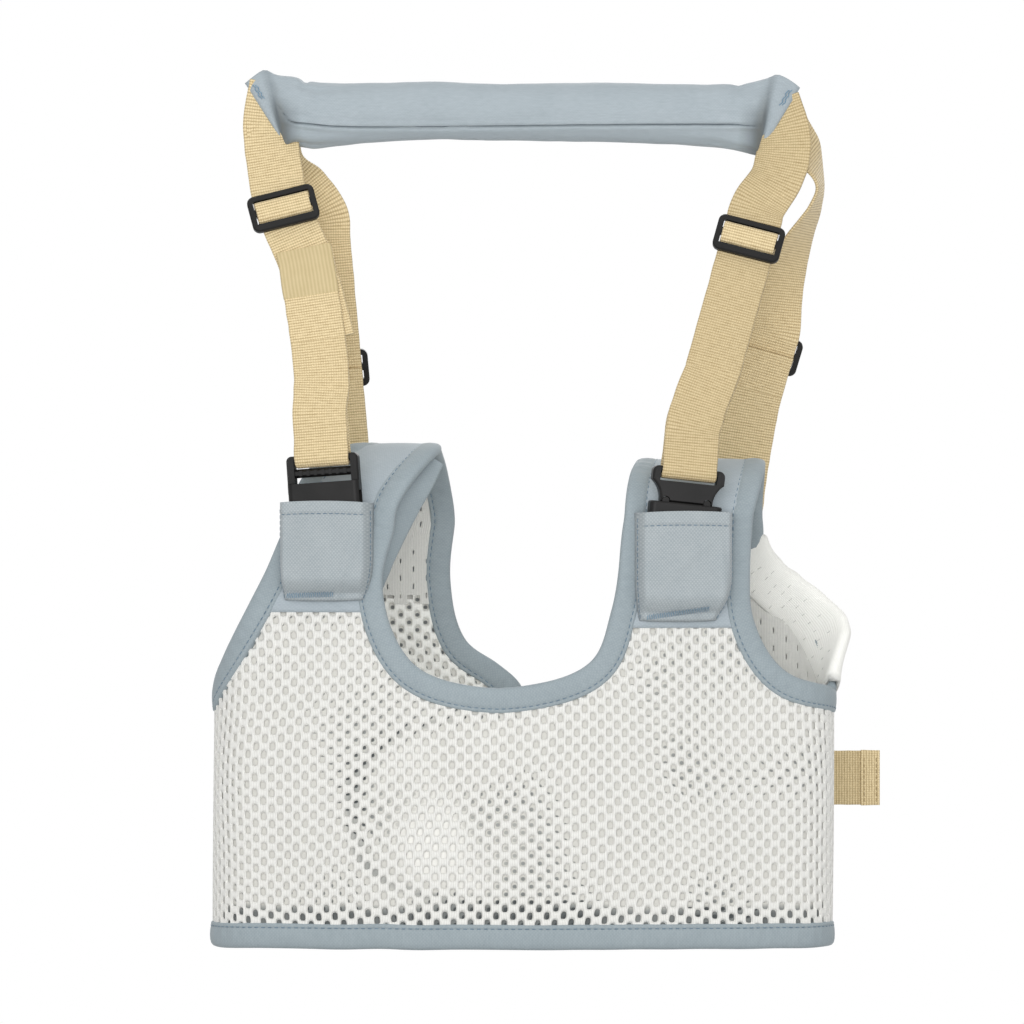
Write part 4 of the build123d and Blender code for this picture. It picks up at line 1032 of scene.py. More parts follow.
class HARNESS_OT_bindings(bpy.types.Operator):
    """Folds binding tape over every edge of the vest and sews it down"""

    bl_idname = "harness.bindings"
    bl_label = "Binding tape"

    def execute(self, context):
        cloth, _, _ = settings()
        neck = [
            wall_line(edge(BACK_NECK_LEFT, -1)),
            arch_line(LEFT_SHOULDER, 1, False),
            wall_line(edge(FRONT_NECK)),
            arch_line(RIGHT_SHOULDER, -1, True),
            wall_line(edge(BACK_NECK_RIGHT, 1)),
        ]
        bind("neck_binding", neck, -1, cloth)
        left = [
            wall_line(edge(FRONT_ARM_LEFT)[::-1]),
            arch_line(LEFT_SHOULDER, -1, True),
            wall_line(edge(BACK_ARM_LEFT, -1)),
        ]
        bind("armhole_binding_left", left, -1, cloth, closed=True)
        right = [
            wall_line(edge(FRONT_ARM_RIGHT)[::-1]),
            arch_line(RIGHT_SHOULDER, 1, True),
            wall_line(edge(BACK_ARM_RIGHT, 1)),
        ]
        bind("armhole_binding_right", right, 1, cloth, closed=True)
        roll_wing()
        fold = [(-42, -13, -157), (-48, -23, -170), (-55, -29, -184), (-61.5, -32.5, -198)]
        fold += [(-69, -33.6, -216)]
        made = ribbon(
            "neck_fold_left", fold, [(1, 0.7, 0.3)] * len(fold), "binding_tape",
            width=14.0, thick=1.6, slot="binding_tape",
        )
        # Painted shade: the folded strip is darkened as it lies in shade inside the neck.
        mark(made, "fold", 0.12)
        s = np.arange(-2 * QUARTER - 2, 2 * QUARTER - 18, 1.5)
        bind("hem_binding", [wall_line(np.stack([s, HEM + 0 * s], -1))], 1, cloth)
        return {"FINISHED"}


class HARNESS_OT_chest_pad(bpy.types.Operator):
    """Sews the crowned chest pad behind the front panel"""

    bl_idname = "harness.chest_pad"
    bl_label = "Chest pad"

    def execute(self, context):
        low, high = (np.array(v) * 1000 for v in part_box("chest_pad"))
        s0, s1 = along_wall(low[0]), along_wall(high[0])
        rows, columns = 44, 72
        across, up = np.meshgrid(np.linspace(-1, 1, columns), np.linspace(-1, 1, rows))
        round_ = 1 - np.clip(np.abs(across), 0, 1) ** 10
        tall = 1 - np.clip(np.abs(up), 0, 1) ** 8
        squeeze = np.maximum(np.minimum(round_, tall), 0)
        corner = np.hypot(np.clip(np.abs(across) - 0.8, 0, 1) / 0.2, np.clip(np.abs(up) - 0.65, 0, 1) / 0.35)
        rounded = 1 + (np.maximum(corner, 1) - 1) * 0.35
        s = (s0 + s1) / 2 + (s1 - s0) / 2 * across / rounded
        z = (low[2] + high[2]) / 2 + (high[2] - low[2]) / 2 * up / rounded
        swell = squeeze**0.45
        front = on_wall(s, z, -PANEL - 0.4 - 0.2 * (1 - swell))
        quilt = 0.5 * np.sin(across * 9) * np.sin(up * 7)
        rear = on_wall(s, z, -PANEL - 0.6 - swell * (5.0 + quilt))
        count = rows * columns
        corners = np.concatenate([front.reshape(-1, 3), rear.reshape(-1, 3)])
        faces = np.concatenate([grid_faces(rows, columns), grid_faces(rows, columns, start=count)[:, ::-1]])
        uv = np.tile(np.stack([s.ravel(), z.ravel()], -1), (2, 1))
        made = piece("chest_pad", corners, faces, "padding", "padding", uv=uv, stands_for=["chest_pad"])
        shape = bmesh.new()
        shape.from_mesh(made.data)
        bmesh.ops.remove_doubles(shape, verts=shape.verts, dist=0.0003)
        bmesh.ops.holes_fill(shape, edges=[e for e in shape.edges if e.is_boundary])
        bmesh.ops.recalc_face_normals(shape, faces=shape.faces)
        shape.to_mesh(made.data)
        shape.free()
        spots = np.array([v.co for v in made.data.vertices]) * 1000
        seam_depth = 1.4  # the pad's outer face and rim, down to this depth behind the mesh, are sewn down
        seam = on_wall(along_wall(spots[:, 0]), spots[:, 2], -PANEL - seam_depth)
        puff(made, sewn_down=np.flatnonzero(spots[:, 1] < seam[:, 1]))
        return {"FINISHED"}


def puff(made, sewn_down):
    """Blows up a closed form as stuffed cloth, held where it is sewn down, and keeps the shape it takes."""
    pressure, shrink, last_frame, cap = 4.0, -0.05, 20, 0.0022
    scene = bpy.context.scene
    start = np.empty(3 * len(made.data.vertices))
    made.data.vertices.foreach_get("co", start)
    held = made.vertex_groups.new(name="sewn_down")
    held.add(sewn_down.tolist(), 1.0, "REPLACE")
    cloth = made.modifiers.new("Stuffing", "CLOTH")
    cloth.settings.vertex_group_mass = held.name
    cloth.settings.use_pressure = True
    cloth.settings.uniform_pressure_force = pressure
    cloth.settings.shrink_min = shrink
    cloth.settings.quality = 5
    cloth.settings.effector_weights.gravity = 0.0
    for frame_number in range(1, last_frame + 1):
        scene.frame_set(frame_number)
    shape = made.evaluated_get(bpy.context.evaluated_depsgraph_get())
    end = np.empty_like(start)
    shape.data.vertices.foreach_get("co", end)
    moved = (end - start).reshape(-1, 3)
    reach = np.linalg.norm(moved, axis=1, keepdims=True)
    moved *= np.minimum(1, cap / np.maximum(reach, 1e-9))
    made.modifiers.remove(cloth)
    made.vertex_groups.remove(held)
    made.data.vertices.foreach_set("co", start + moved.ravel())
    made.data.update()
    scene.frame_set(1)


def wall_frame(x, z, lean, stand_off, front=True):
    """Middle, way across, way inwards and way up of hardware that stands off the vest at x and z."""
    lean, turn = math.radians(lean), math.asin(x / BROAD_RADIUS)
    face = -1 if front else 1
    level = np.array([math.cos(turn), -face * math.sin(turn), 0])
    out = np.array([math.sin(turn), face * math.cos(turn), 0])
    spot = np.array([x, face * (math.sqrt(BROAD_RADIUS**2 - x**2) - BROAD_CENTRE), z]) + out * stand_off
    upright = np.array([0, 0, 1.0])
    up = upright * math.cos(lean) + level * math.sin(lean)
    across = (level * math.cos(lean) - upright * math.sin(lean)) * (1 if front else -1)
    return spot, across, np.cross(up, across), up


# Middle x at mouth and foot, z of foot and mouth, width at mouth and foot, places of the bartack's two ends.
POCKETS = {
    "left": (-88.0, -89.5, -221.6, -177.6, 42.0, 36.0, ((-106.3, -219.6), (-85.8, -219.0))),
    "right": (72.0, 69.5, -230.8, -182.2, 44.0, 34.5, ((56.0, -229.3), (83.5, -225.6))),
}


class HARNESS_OT_pockets(bpy.types.Operator):
    """Sews a swollen cloth pocket over the lower half of each front buckle"""

    bl_idname = "harness.pockets"
    bl_label = "Buckle pockets"

    def execute(self, context):
        cloth, _, _ = settings()
        for side, (x, foot_x, low, high, width, foot, bartack) in POCKETS.items():
            _, _, inwards, _ = wall_frame(x, 0, 0, 0)
            rows, columns = 65, 73
            u, v = np.meshgrid(np.linspace(-1, 1, columns), np.linspace(0, 1, rows))
            ease = np.clip(v / 0.42, 0, 1)
            ease = ease * (2 - ease)
            half = (foot + (width - foot) * ease) / 2
            rise = 0.37 * np.sqrt(np.clip(v / 0.02, 0, 1)) + 0.06 * np.clip((v - 0.3) / 0.7, 0, 1)
            rise = rise + 0.57 * np.sin(np.clip((v - 0.08) / 0.17, 0, 1) * math.pi / 2) ** 0.9
            flank = np.sin(np.clip((1 - np.abs(u)) / 0.17, 0, 1) * math.pi / 2) ** 0.6
            off = u - (0.42 + 0.5 * v if side == "left" else 0.95 - 0.2 * v)
            crease = -0.55 * np.exp(-((off / 0.05) ** 2)) + 0.5 * np.exp(-(((off + 0.13) / 0.07) ** 2))
            crease = crease * np.clip(1.2 - v, 0, 1)
            ridge = np.exp(-(((v - 0.36) - (u + 0.55) * 0.36) ** 2) / 0.003) * np.clip(0.8 - np.abs(u), 0, 1)
            fold = 0.5 * (v > 0.885) - 0.35 * np.exp(-((v - 0.875) ** 2) / 0.00012)
            soft = 0.35 * noise(u * 4.1 + v * 3, u * 2.3 - v * 5.2) * flank
            out = 1000 * cloth.pocket_height * rise * flank
            out = out + (0.45 * ridge + fold + crease * (v < 0.93)) * flank + soft
            out = np.maximum(out, 0.3 + 0.9 * flank)
            middle = foot_x + (x - foot_x) * ease
            z = low + (high - low) * v + 0.9 * (1 - u**2) * v**3 - 0.5 * (1 - u**2) * (1 - v) ** 3
            depth = np.sqrt(BROAD_RADIUS**2 - (middle + half * u) ** 2) - BROAD_CENTRE
            corners = np.stack([middle + half * u, -depth, z], -1) - inwards * out[..., None]
            uv = np.stack([half * u * 1.12, (high - low) * v], -1)
            made = piece(
                f"pocket_{side}", corners.reshape(-1, 3), grid_faces(rows, columns), "pocket_cloth",
                "vest_cloth", uv=uv.reshape(-1, 2), stands_for=[f"pocket_{side}"],
            )
            face_like(made, (0, -1, 0))
            finish_with(made, "SOLIDIFY", thickness=cloth.cloth_thickness, offset=-1)
            hem_row = 56
            line = corners[hem_row, 4:-4] - inwards * 0.15
            stitches(f"pocket_{side}_stitches", line, np.broadcast_to(-inwards, line.shape), 2.8, radius=0.22)
            for n, column in enumerate((1, -2)):
                line = corners[1:-2, column] - [0, 0.35, 0]
                outs = np.broadcast_to([0, -1.0, 0], line.shape)
                stitches(f"pocket_{side}_side_stitches_{n}", line, outs, 2.6, radius=0.2)
            sew_bartack(f"pocket_{side}_bartack", *bartack, corners[:14].reshape(-1, 3))
        return {"FINISHED"}


def face_like(obj, way):
    """Turns an open sheet so that its faces look the given way."""
    total = sum((f.normal * f.area for f in obj.data.polygons), Vector())
    if total.dot(Vector(way)) < 0:
        obj.data.flip_normals()


def sew_bartack(name, first, last, cloth):
    """Dense row of short upright stitches, from one place (x, z) to the other, that holds a pocket's foot."""
    corners, faces = [], []
    count = int(math.dist(first, last) / 0.8)
    for n in range(count):
        x, z = (a + (b - a) * n / (count - 1) for a, b in zip(first, last))
        ends = []
        for lean, height in ((-0.2, -0.95), (0.2, 0.95 + 0.25 * (n % 2))):
            close = np.argsort(np.hypot(cloth[:, 0] - x - lean, cloth[:, 2] - z - height))[:3]
            ends.append(np.array([x + lean, cloth[close, 1].min() - 0.34, z + height]))
        thread_between(corners, faces, *ends, 0.17)
    solid(name, corners, faces, "blue_thread", "vest_cloth")


# Rings of the handle's ends: top (x, z), bottom (x, z) and half depth, from the flap's edge to the grip.
HANDLE_END = [
    ((-126.4, 13.2), (-107.0, -17.0), 2.1),
    ((-125.0, 14.4), (-107.2, -17.5), 2.5),
    ((-123.0, 16.0), (-107.5, -17.8), 2.9),
    ((-120.0, 18.2), (-107.8, -18.0), 3.0),
    ((-117.4, 19.4), (-108.0, -18.0), 2.4),
    ((-115.4, 18.7), (-107.8, -17.6), 3.8),
    ((-113.0, 17.4), (-107.0, -17.0), 7.6),
    ((-109.0, 16.2), (-105.0, -15.8), 10.8),
    ((-104.0, 15.4), (-102.0, -15.2), 12.2),
]
HANDLE_END_RIGHT = [
    ((126.0, 11.0), (104.8, -23.5), 2.1),
    ((124.5, 12.4), (105.2, -23.3), 2.5),
    ((122.0, 14.2), (105.6, -22.8), 2.9),
    ((118.6, 16.2), (106.4, -21.8), 3.0),
    ((115.4, 17.2), (107.0, -20.8), 2.4),
    ((113.6, 16.4), (106.6, -20.2), 3.8),
    ((111.0, 15.2), (105.8, -19.4), 7.6),
    ((108.0, 14.2), (104.0, -18.6), 10.8),
    ((103.0, 13.2), (101.0, -17.8), 12.2),
]
GRIP = [  # place along the grip, its top and its underside
    (-95.0, 13.4, -16.2), (-84.0, 13.1, -15.2), (-66.0, 13.2, -13.7), (-44.0, 13.9, -12.5),
    (-10.0, 12.9, -13.0), (35.0, 13.4, -13.5), (62.0, 12.9, -14.4), (84.0, 12.7, -15.8), (94.0, 12.8, -16.8),
]
SEAM_TURN = 2.03  # where the long seam lies round the grip, from its top over its front
# Dents in the sleeve near its ends: x and z of the middle, half width, half height and depth.
DENTS = [(-99, 13.5, 1.8, 5.0, 1.3), (-94, 8, 3.0, 6.0, 0.5), (97, 9, 2.2, 7.0, 0.9)]


class HARNESS_OT_handle(bpy.types.Operator):
    """Sews the padded handle's sleeve, with its long seam and flattened ends"""

    bl_idname = "harness.handle"
    bl_label = "Padded handle"

    def execute(self, context):
        _, grip, _ = settings()
        rings = [(*top, *foot, depth) for top, foot, depth in HANDLE_END]
        rings += [(x, top, x, foot, 500 * grip.depth) for x, top, foot in GRIP]
        rings += [(*top, *foot, depth) for top, foot, depth in reversed(HANDLE_END_RIGHT)]
        flat = np.array(rings, float)
        middle = np.c_[(flat[:, 0] + flat[:, 2]) / 2, 0 * flat[:, 0], (flat[:, 1] + flat[:, 3]) / 2]
        line = smooth(np.c_[middle, flat], 1.1)[:, 3:]
        even_turns, seam_turns = np.linspace(0, 2 * math.pi, 84, endpoint=False), np.linspace(-0.17, 0.17, 29)
        turn = np.sort(np.r_[even_turns, SEAM_TURN + seam_turns])
        count = len(turn)
        top, foot, depth = line[:, None, 0:2], line[:, None, 2:4], line[:, 4:5]
        high, wide = np.cos(turn), np.sin(turn)
        plump = np.clip((depth - 3) / 8, 0, 1)
        across = foot + (top - foot) * ((1 + high) / 2)[None, :, None]
        bulge = np.sign(wide) * np.abs(wide) ** (0.85 + 0.1 * plump)
        spots = np.stack(np.broadcast_arrays(across[..., 0], -depth * bulge, across[..., 1]), -1)
        reach = travelled(np.c_[(line[:, 0] + line[:, 2]) / 2, (line[:, 1] + line[:, 3]) / 2])
        x, z = spots[..., 0], spots[..., 2]
        near_end = np.clip((np.abs(x) - 74) / 30, 0, 1)
        folds = noise(x / 6.3 + turn * 1.3, x / 3.9 - turn * 2.1, x / 9.7 + turn * 3.1 + 2)
        gathers = noise(turn * 6 + x / 17, turn * 9 - x / 23 + 1)
        rise = 1000 * grip.wrinkle * ((0.22 + 0.5 * near_end) * folds + (0.12 + 0.9 * near_end) * gathers)
        rise = rise * (0.2 + 0.8 * plump)
        seam_z = -1000 * grip.seam_drop + 0.6 * np.sin(x / 47) + 1.7 * np.exp(-(((x + 104) / 16) ** 2))
        seam_z = seam_z + 9 * np.exp(-(((x + 112) / 4.5) ** 2))
        off = np.where(spots[..., 1] < 0, z - seam_z, 99.0)
        pucker = noise(x / 1.4, x / 2.1 + 1)
        lips = 0.3 * np.exp(-(((np.abs(off) - 1.5) / 1.0) ** 2)) * (1 + 0.4 * pucker)
        rise = rise + (lips - 1.15 * np.exp(-((off / 0.36) ** 2))) * plump
        for at_x, at_z, wide_x, wide_z, deep in DENTS:
            slanted = (x - at_x - (z - at_z) * 0.3) / wide_x
            rise = rise - deep * np.exp(-(slanted**2) - ((z - at_z) / wide_z) ** 2)
        outward = np.stack([0 * high + 0 * x, -wide + 0 * x, high + 0 * x], -1)
        spots = spots + outward * rise[..., None]
        uv = np.stack(np.broadcast_arrays(reach[:, None], turn[None] * 13.3), -1).reshape(-1, 2)
        made = solid(
            "handle_sleeve", spots.reshape(-1, 3), tube_faces(len(line), count), "sleeve_cloth",
            "sleeve_cloth", uv=uv, stands_for=["handle_sleeve", "handle_foam"],
        )
        # Painted shade: the fold mark darkens the sleeve's front in the valley inside each flattened end,
        # over its lower side near each end and along its long seam.
        lower = np.clip((0.45 - high) / 0.8, 0, 1)[None]
        fold = 0
        half = len(line) // 2
        for peak, towards_middle in ((np.argmax(line[:half, 1]), 1), (half + np.argmax(line[half:, 1]), -1)):
            inside = (reach - reach[peak]) * towards_middle
            fold = fold + 0.75 * np.exp(-(((inside - 0.6) / 1.1) ** 2))[:, None] * (0.5 + 0.5 * lower)
            shaded = np.clip((inside + 2) / 3, 0, 1) * np.clip((13 - inside) / 9, 0, 1)
            fold = fold + 0.95 * shaded[:, None] * lower
        fold = fold + 0.5 * np.exp(-((off / 0.45) ** 2)) * plump
        mark(made, "fold", np.clip(fold * (spots[..., 1] < 4), 0, 1).ravel())
        closest = np.argmin(np.abs(off), axis=1)
        seam = spots[np.arange(len(line)), closest][8:-8] + [0, -0.12, 0]
        sew_in_seam(seam)
        for side, end in ((-1, HANDLE_END), (1, HANDLE_END_RIGHT)):
            sew_zigzag(f"handle_zigzag_{'left' if side < 0 else 'right'}", end, side)
        return {"FINISHED"}


def sew_in_seam(seam):
    """The sewing thread down in the handle's long seam, darker than its thread, so that it also draws the
    seam's painted shadow line.
    """
    corners, faces = [], []
    for a, b in zip(seam[::3], seam[3::3]):
        thread_between(corners, faces, a, a + (b - a) * 0.93, 0.2)
    solid("handle_seam_thread", corners, faces, "seam_thread_and_shadow", "sleeve_cloth")


def sew_zigzag(name, end, side):
    """Zigzag of blue thread over the strap ends in the handle's flattened flap."""
    (x0, z0), (x1, z1), _ = end[1]
    stitch, swing, radius = 1.15, 0.75, 0.22
    first, last = 0.07, 0.26  # shares of the flap's edge between which it is sewn
    count = int((last - first) * math.hypot(x1 - x0, z1 - z0) / stitch)
    share = np.linspace(first, last, count)
    corners, faces = [], []
    for face in (-1, 1):
        for base in (0.9, 2.2):
            out = np.full(count, face * (2.6 + 0.2 * base))
            spots = np.stack([x0 + (x1 - x0) * share, out, z0 + (z1 - z0) * share], -1)
            spots[:, 0] -= side * (base + swing * (np.arange(count) % 2))
            for a, b in zip(spots, spots[1:]):
                thread_between(corners, faces, a, b, radius)
    solid(name, corners, faces, "blue_thread", "sleeve_cloth")


def thread_between(corners, faces, a, b, radius):
    """A short thread from a to b, added to lists of corners and faces."""
    sides = 5
    ahead = unit(b - a)
    beside = unit(np.cross(ahead, [0, 1.0, 0.01]))
    out = np.cross(ahead, beside)
    start = len(corners)
    for spot, wide in ((a - ahead * radius, 0.3), (a, 1.0), (b, 1.0), (b + ahead * radius, 0.3)):
        for step in range(sides):
            turn = 2 * math.pi * step / sides
            corners.append(spot + (beside * math.cos(turn) + out * math.sin(turn)) * radius * wide)
    faces += grid_faces(4, sides, True, start).tolist()
    faces += [[start + k for k in range(sides)], [start + 3 * sides + k for k in range(sides)][::-1]]


# Straps --------------------------------------------------------------------------------------------------


def buckle_frame(name):
    """Middle of a buckle's mouth and its own ways across, inwards and towards its plug, from its prongs."""
    ends = [1000 * np.array(JOINTS[f"{name}_prong_{c}_hinge"]["pos_m"], float) for c in "ab"]
    across = unit(ends[1] - ends[0])
    inwards = unit(JOINTS[f"{name}_prong_a_hinge"]["axis"])
    up = np.cross(across, inwards)
    return (ends[0] + ends[1]) / 2 - up * 0.7, across, inwards, up


def round_bar(place, bar_z, away):
    """Places and width ways of webbing that comes down to a bar, goes round it and leaves beside itself."""
    spot, across, inwards, up = place
    gap, far = LAYER / 2, 20.0
    path = [(-gap, bar_z + away * far), (-gap - 0.4, bar_z + away * far * 0.55)]
    path += half_turn(bar_z, away)
    path += [(gap + 0.4, bar_z + away * far * 0.55), (gap, bar_z + away * far)]
    points = np.array([spot + inwards * y + up * z for y, z in path])
    return points, np.broadcast_to(-away * across, points.shape)


def half_turn(bar_z, away):
    """Webbing's way round a bar, as (out, up)."""
    turns = [math.pi * n / 6 for n in range(7)]
    return [(-BIGHT * math.cos(t), bar_z - away * BIGHT * math.sin(t)) for t in turns]


# lead: places and width ways from inside the handle's flap; run: line of the straight stretch; start: share
# of the run at which it is reached; the number after facing is painted shade: how far the strap is darkened
# where it lies turned from the light.
STRAPS = {
    "front_left": {
        "facing": 1, "painted_shade": 0.04, "slide_z": -44.6, "knee": (-90.8, -34.2, -122.0), "start": 0.0,
        "lead": [
            ((-111.8, -0.9, 12.5), (-1, 0, 0.12)), ((-113.8, -0.9, 3.0), (-1, 0, 0.05)),
            ((-114.7, -0.9, -7.0), (-1, 0, -0.05)),
            ((-113.8, -3.6, -18.0), (-0.99, 0.1, -0.12)), ((-112.3, -7.4, -28.0), (-0.98, 0.05, -0.18)),
        ],
        "run": ((-111.0, -9.5, -36.0), (-92.5, -29.5, -104.0)),
    },
    "front_right": {
        "facing": 1, "painted_shade": 0.26, "slide_z": -58.5, "knee": (80.0, -39.0, -132.0), "start": 0.1,
        "lead": [
            ((113.5, -0.9, 5.0), (-1, 0, 0.05)), ((117.6, -0.9, -7.0), (-1, 0, 0.1)),
            ((118.4, -4.0, -18.0), (-0.97, 0.15, 0.15)), ((115.2, -7.8, -30.0), (-0.92, 0.25, 0.24)),
        ],
        "run": ((109.0, -9.5, -35.0), (85.5, -34.5, -118.0)),
    },
    "back_left": {
        "facing": -1, "painted_shade": 0.02, "slide_z": -116.6, "knee": (-81.2, 37.5, -168.0), "start": 0.04,
        "lead": [
            ((-113.0, 0.9, 3.0), (1, 0, 0.1)), ((-113.6, 2.6, -10.0), (0.92, 0.35, 0.1)),
            ((-109.5, 7.0, -23.0), (0.78, 0.55, -0.3)), ((-100.0, 10.0, -35.0), (0.9, 0.2, -0.4)),
        ],
        "run": ((-92.5, 10.5, -42.0), (-82.5, 34.0, -158.0)),
    },
    "back_right": {
        "facing": -1, "painted_shade": 0.0, "slide_z": -108.0, "knee": (101.0, 36.0, -155.0), "start": 0.64,
        "lead": [
            ((113.0, 0.9, 4.0), (1, 0, 0.0)), ((119.5, 3.0, -8.0), (0.9, 0.3, 0.35)),
            ((130.5, 6.5, -19.0), (0.3, 0.75, 0.6)), ((135.4, 9.5, -32.0), (0.15, 0.97, 0.1)),
            ((133.0, 11.5, -43.0), (0.22, 0.97, -0.05)), ((126.0, 14.0, -57.0), (0.48, 0.87, -0.1)),
            ((119.8, 17.6, -71.0), (0.74, 0.65, -0.18)), ((116.2, 21.5, -86.0), (0.9, 0.4, -0.2)),
        ],
        "run": ((128.0, 14.0, -53.0), (106.5, 29.5, -126.0)),
    },
}
# Heights of the bars that the webbing goes round, from the mouth of a buckle or the middle of a ring.
SOCKET_BAR = -28.0 - 2.6 - 4.0 - 2.6 - 3.3 / 2
PLUG_BAR = 16.0 - 3.3 / 2
RING_BAR = (16.0 - 3.5) / 2
RINGS = [(-78, -206, -4), (93.5, -209, 6)]  # x, z and lean of the back rings
RING_STAND_OFF = 5.4


def level_width(points, facing):
    """The way that a strap's width runs where it runs level."""
    ahead = ways_along(np.asarray(points, float))
    level = np.array([-facing, 0.0, 0.0])
    return unit(level - ahead * (ahead @ level)[:, None])


class HARNESS_OT_straps(bpy.types.Operator):
    """Runs the four webbing straps from the handle through their slides to the vest"""

    bl_idname = "harness.straps"
    bl_label = "Straps"

    def execute(self, context):
        ends = {
            "front_left": (buckle_frame("left_buckle"), SOCKET_BAR, -1, "left_buckle_socket"),
            "front_right": (buckle_frame("right_buckle"), PLUG_BAR, 1, "right_buckle_plug"),
            "back_left": (wall_frame(*RINGS[0], RING_STAND_OFF, False), RING_BAR, 1, None),
            "back_right": (wall_frame(*RINGS[1], RING_STAND_OFF, False), RING_BAR, 1, None),
        }
        for name, strap in STRAPS.items():
            top, bottom = (np.array(p) for p in strap["run"])
            facing, start = strap["facing"], strap["start"]
            straight = [top + (bottom - top) * (start + (1 - start) * t) for t in (0, 0.12, 0.5, 0.88, 1)]
            run_width = level_width([top, bottom], facing)[0]
            points = [*[np.array(p) for p, _ in strap["lead"]], *straight]
            widths = [*[np.array(w, float) for _, w in strap["lead"]], *[run_width] * 5]
            behind = np.cross(unit(bottom - top), run_width)
            share = (strap["slide_z"] - top[2]) / (bottom[2] - top[2])
            slide = top + (bottom - top) * share
            near = behind * (1 if behind[1] * facing > 0 else -1)
            if name == "front_left":
                lay_front_left(points, widths)
            else:
                layer = [slide + near * LAYER, (slide + bottom) / 2 + near * LAYER, bottom + near * LAYER]
                for end, line, ways in (("", points, widths), ("_return", layer, [run_width] * len(layer))):
                    made = ribbon(f"strap_{name}{end}", line, ways, stands_for=[f"strap_{name}{end}"])
                    # Painted shade: the strap's fold mark darkens it where it lies turned from the light.
                    mark(made, "fold", strap["painted_shade"])
            ahead = unit(bottom - (OVERLAY[-2] if name == "front_left" else top))
            lay_loop(name, strap, ends[name], bottom, near, run_width, ahead)
            lay_bight(name, slide, unit(bottom - top), run_width, near)
        return {"FINISHED"}


# The layer that comes back up over the front left strap and ends below its slide.
OVERLAY = [(-99.4, -17.2, -62.5), (-98.2, -19.0, -68), (-96.3, -22.4, -80), (-94.3, -26.0, -92)]
OVERLAY = [np.array(spot) for spot in (*OVERLAY, (-92.5, -29.5, -104))]


def lay_front_left(points, widths):
    """The front left strap: its upper layer slips behind the layer that comes back up from the buckle."""
    upper = []
    for spot in points:
        share = float(np.clip((-48 - spot[2]) / 24, 0, 1))
        upper.append(spot + np.array([2.6 + 1.6 * share, 1.9, 0]) * share * share * (3 - 2 * share))
    ribbon("strap_front_left", upper, widths, stands_for=["strap_front_left"])
    across = [widths[-1]]
    ribbon("strap_front_left_return", OVERLAY, across * len(OVERLAY), stands_for=["strap_front_left_return"])
    sealed = [*OVERLAY[:3], OVERLAY[2] + (OVERLAY[3] - OVERLAY[2]) / 3]
    ribbon(
        "strap_front_left_sealed_end", sealed, across * len(sealed),
        finish="sealed_webbing", width=WEB + 0.3, thick=1.75,
    )


def lay_loop(name, strap, end, bottom, near, run_width, ahead):
    """From the foot of the straight run round the buckle's bar and back up."""
    place, bar_z, away, body = end
    facing = strap["facing"]
    turned, turned_widths = round_bar(place, bar_z, away)
    if (turned_widths[0] * run_width).sum() < 0:
        turned_widths = -turned_widths
    knee = np.array(strap["knee"])
    knee_width = level_width([bottom, knee, turned[0]], facing)[1]
    hidden = bottom - ahead * 7
    upper = [hidden, bottom, knee]
    points = [*upper, *turned, *[spot + near * LAYER for spot in reversed(upper)]]
    widths = [run_width, run_width, knee_width, *turned_widths, knee_width, run_width, run_width]
    slimmer = 0.06  # so that it slips inside the layers that it comes out of
    made = ribbon(
        f"strap_{name}_loop", points, loop_widths(widths), thick=WEB_THICK - slimmer, width=WEB - slimmer,
        body="harness" if body is None else None, stands_for=[f"strap_{name}_loop"],
    )
    # Painted shade: the loop's fold mark darkens it as much as its strap, where it lies turned from the
    # light.
    mark(made, "fold", strap["painted_shade"])
    if body:
        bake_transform(made)


def loop_widths(widths):
    """Keeps the width's way steady round a bight, where the webbing turns over but its width doesn't."""
    steady = [widths[0]]
    for width in widths[1:]:
        steady.append(width if (width * steady[-1]).sum() > 0 else -width)
    return steady


def lay_bight(name, slide, ahead, width, near):
    """Webbing over a slide's middle bar, riding with the slide."""
    half = [(-0.4, 4.7), (1.5, 4.6), (3.2, 4.3), (4.4, 3.4), (4.85, 1.8)]
    path = [*half, (4.95, 0.0), *[(out, -z) for out, z in reversed(half)]]
    points = np.array([slide - near * y + ahead * z for y, z in path])
    ribbon(
        f"slide_{name}_webbing", points, [width] * len(points), body=f"slide_{name}", step=0.7,
        stands_for=[f"slide_{name}_webbing"],
    )


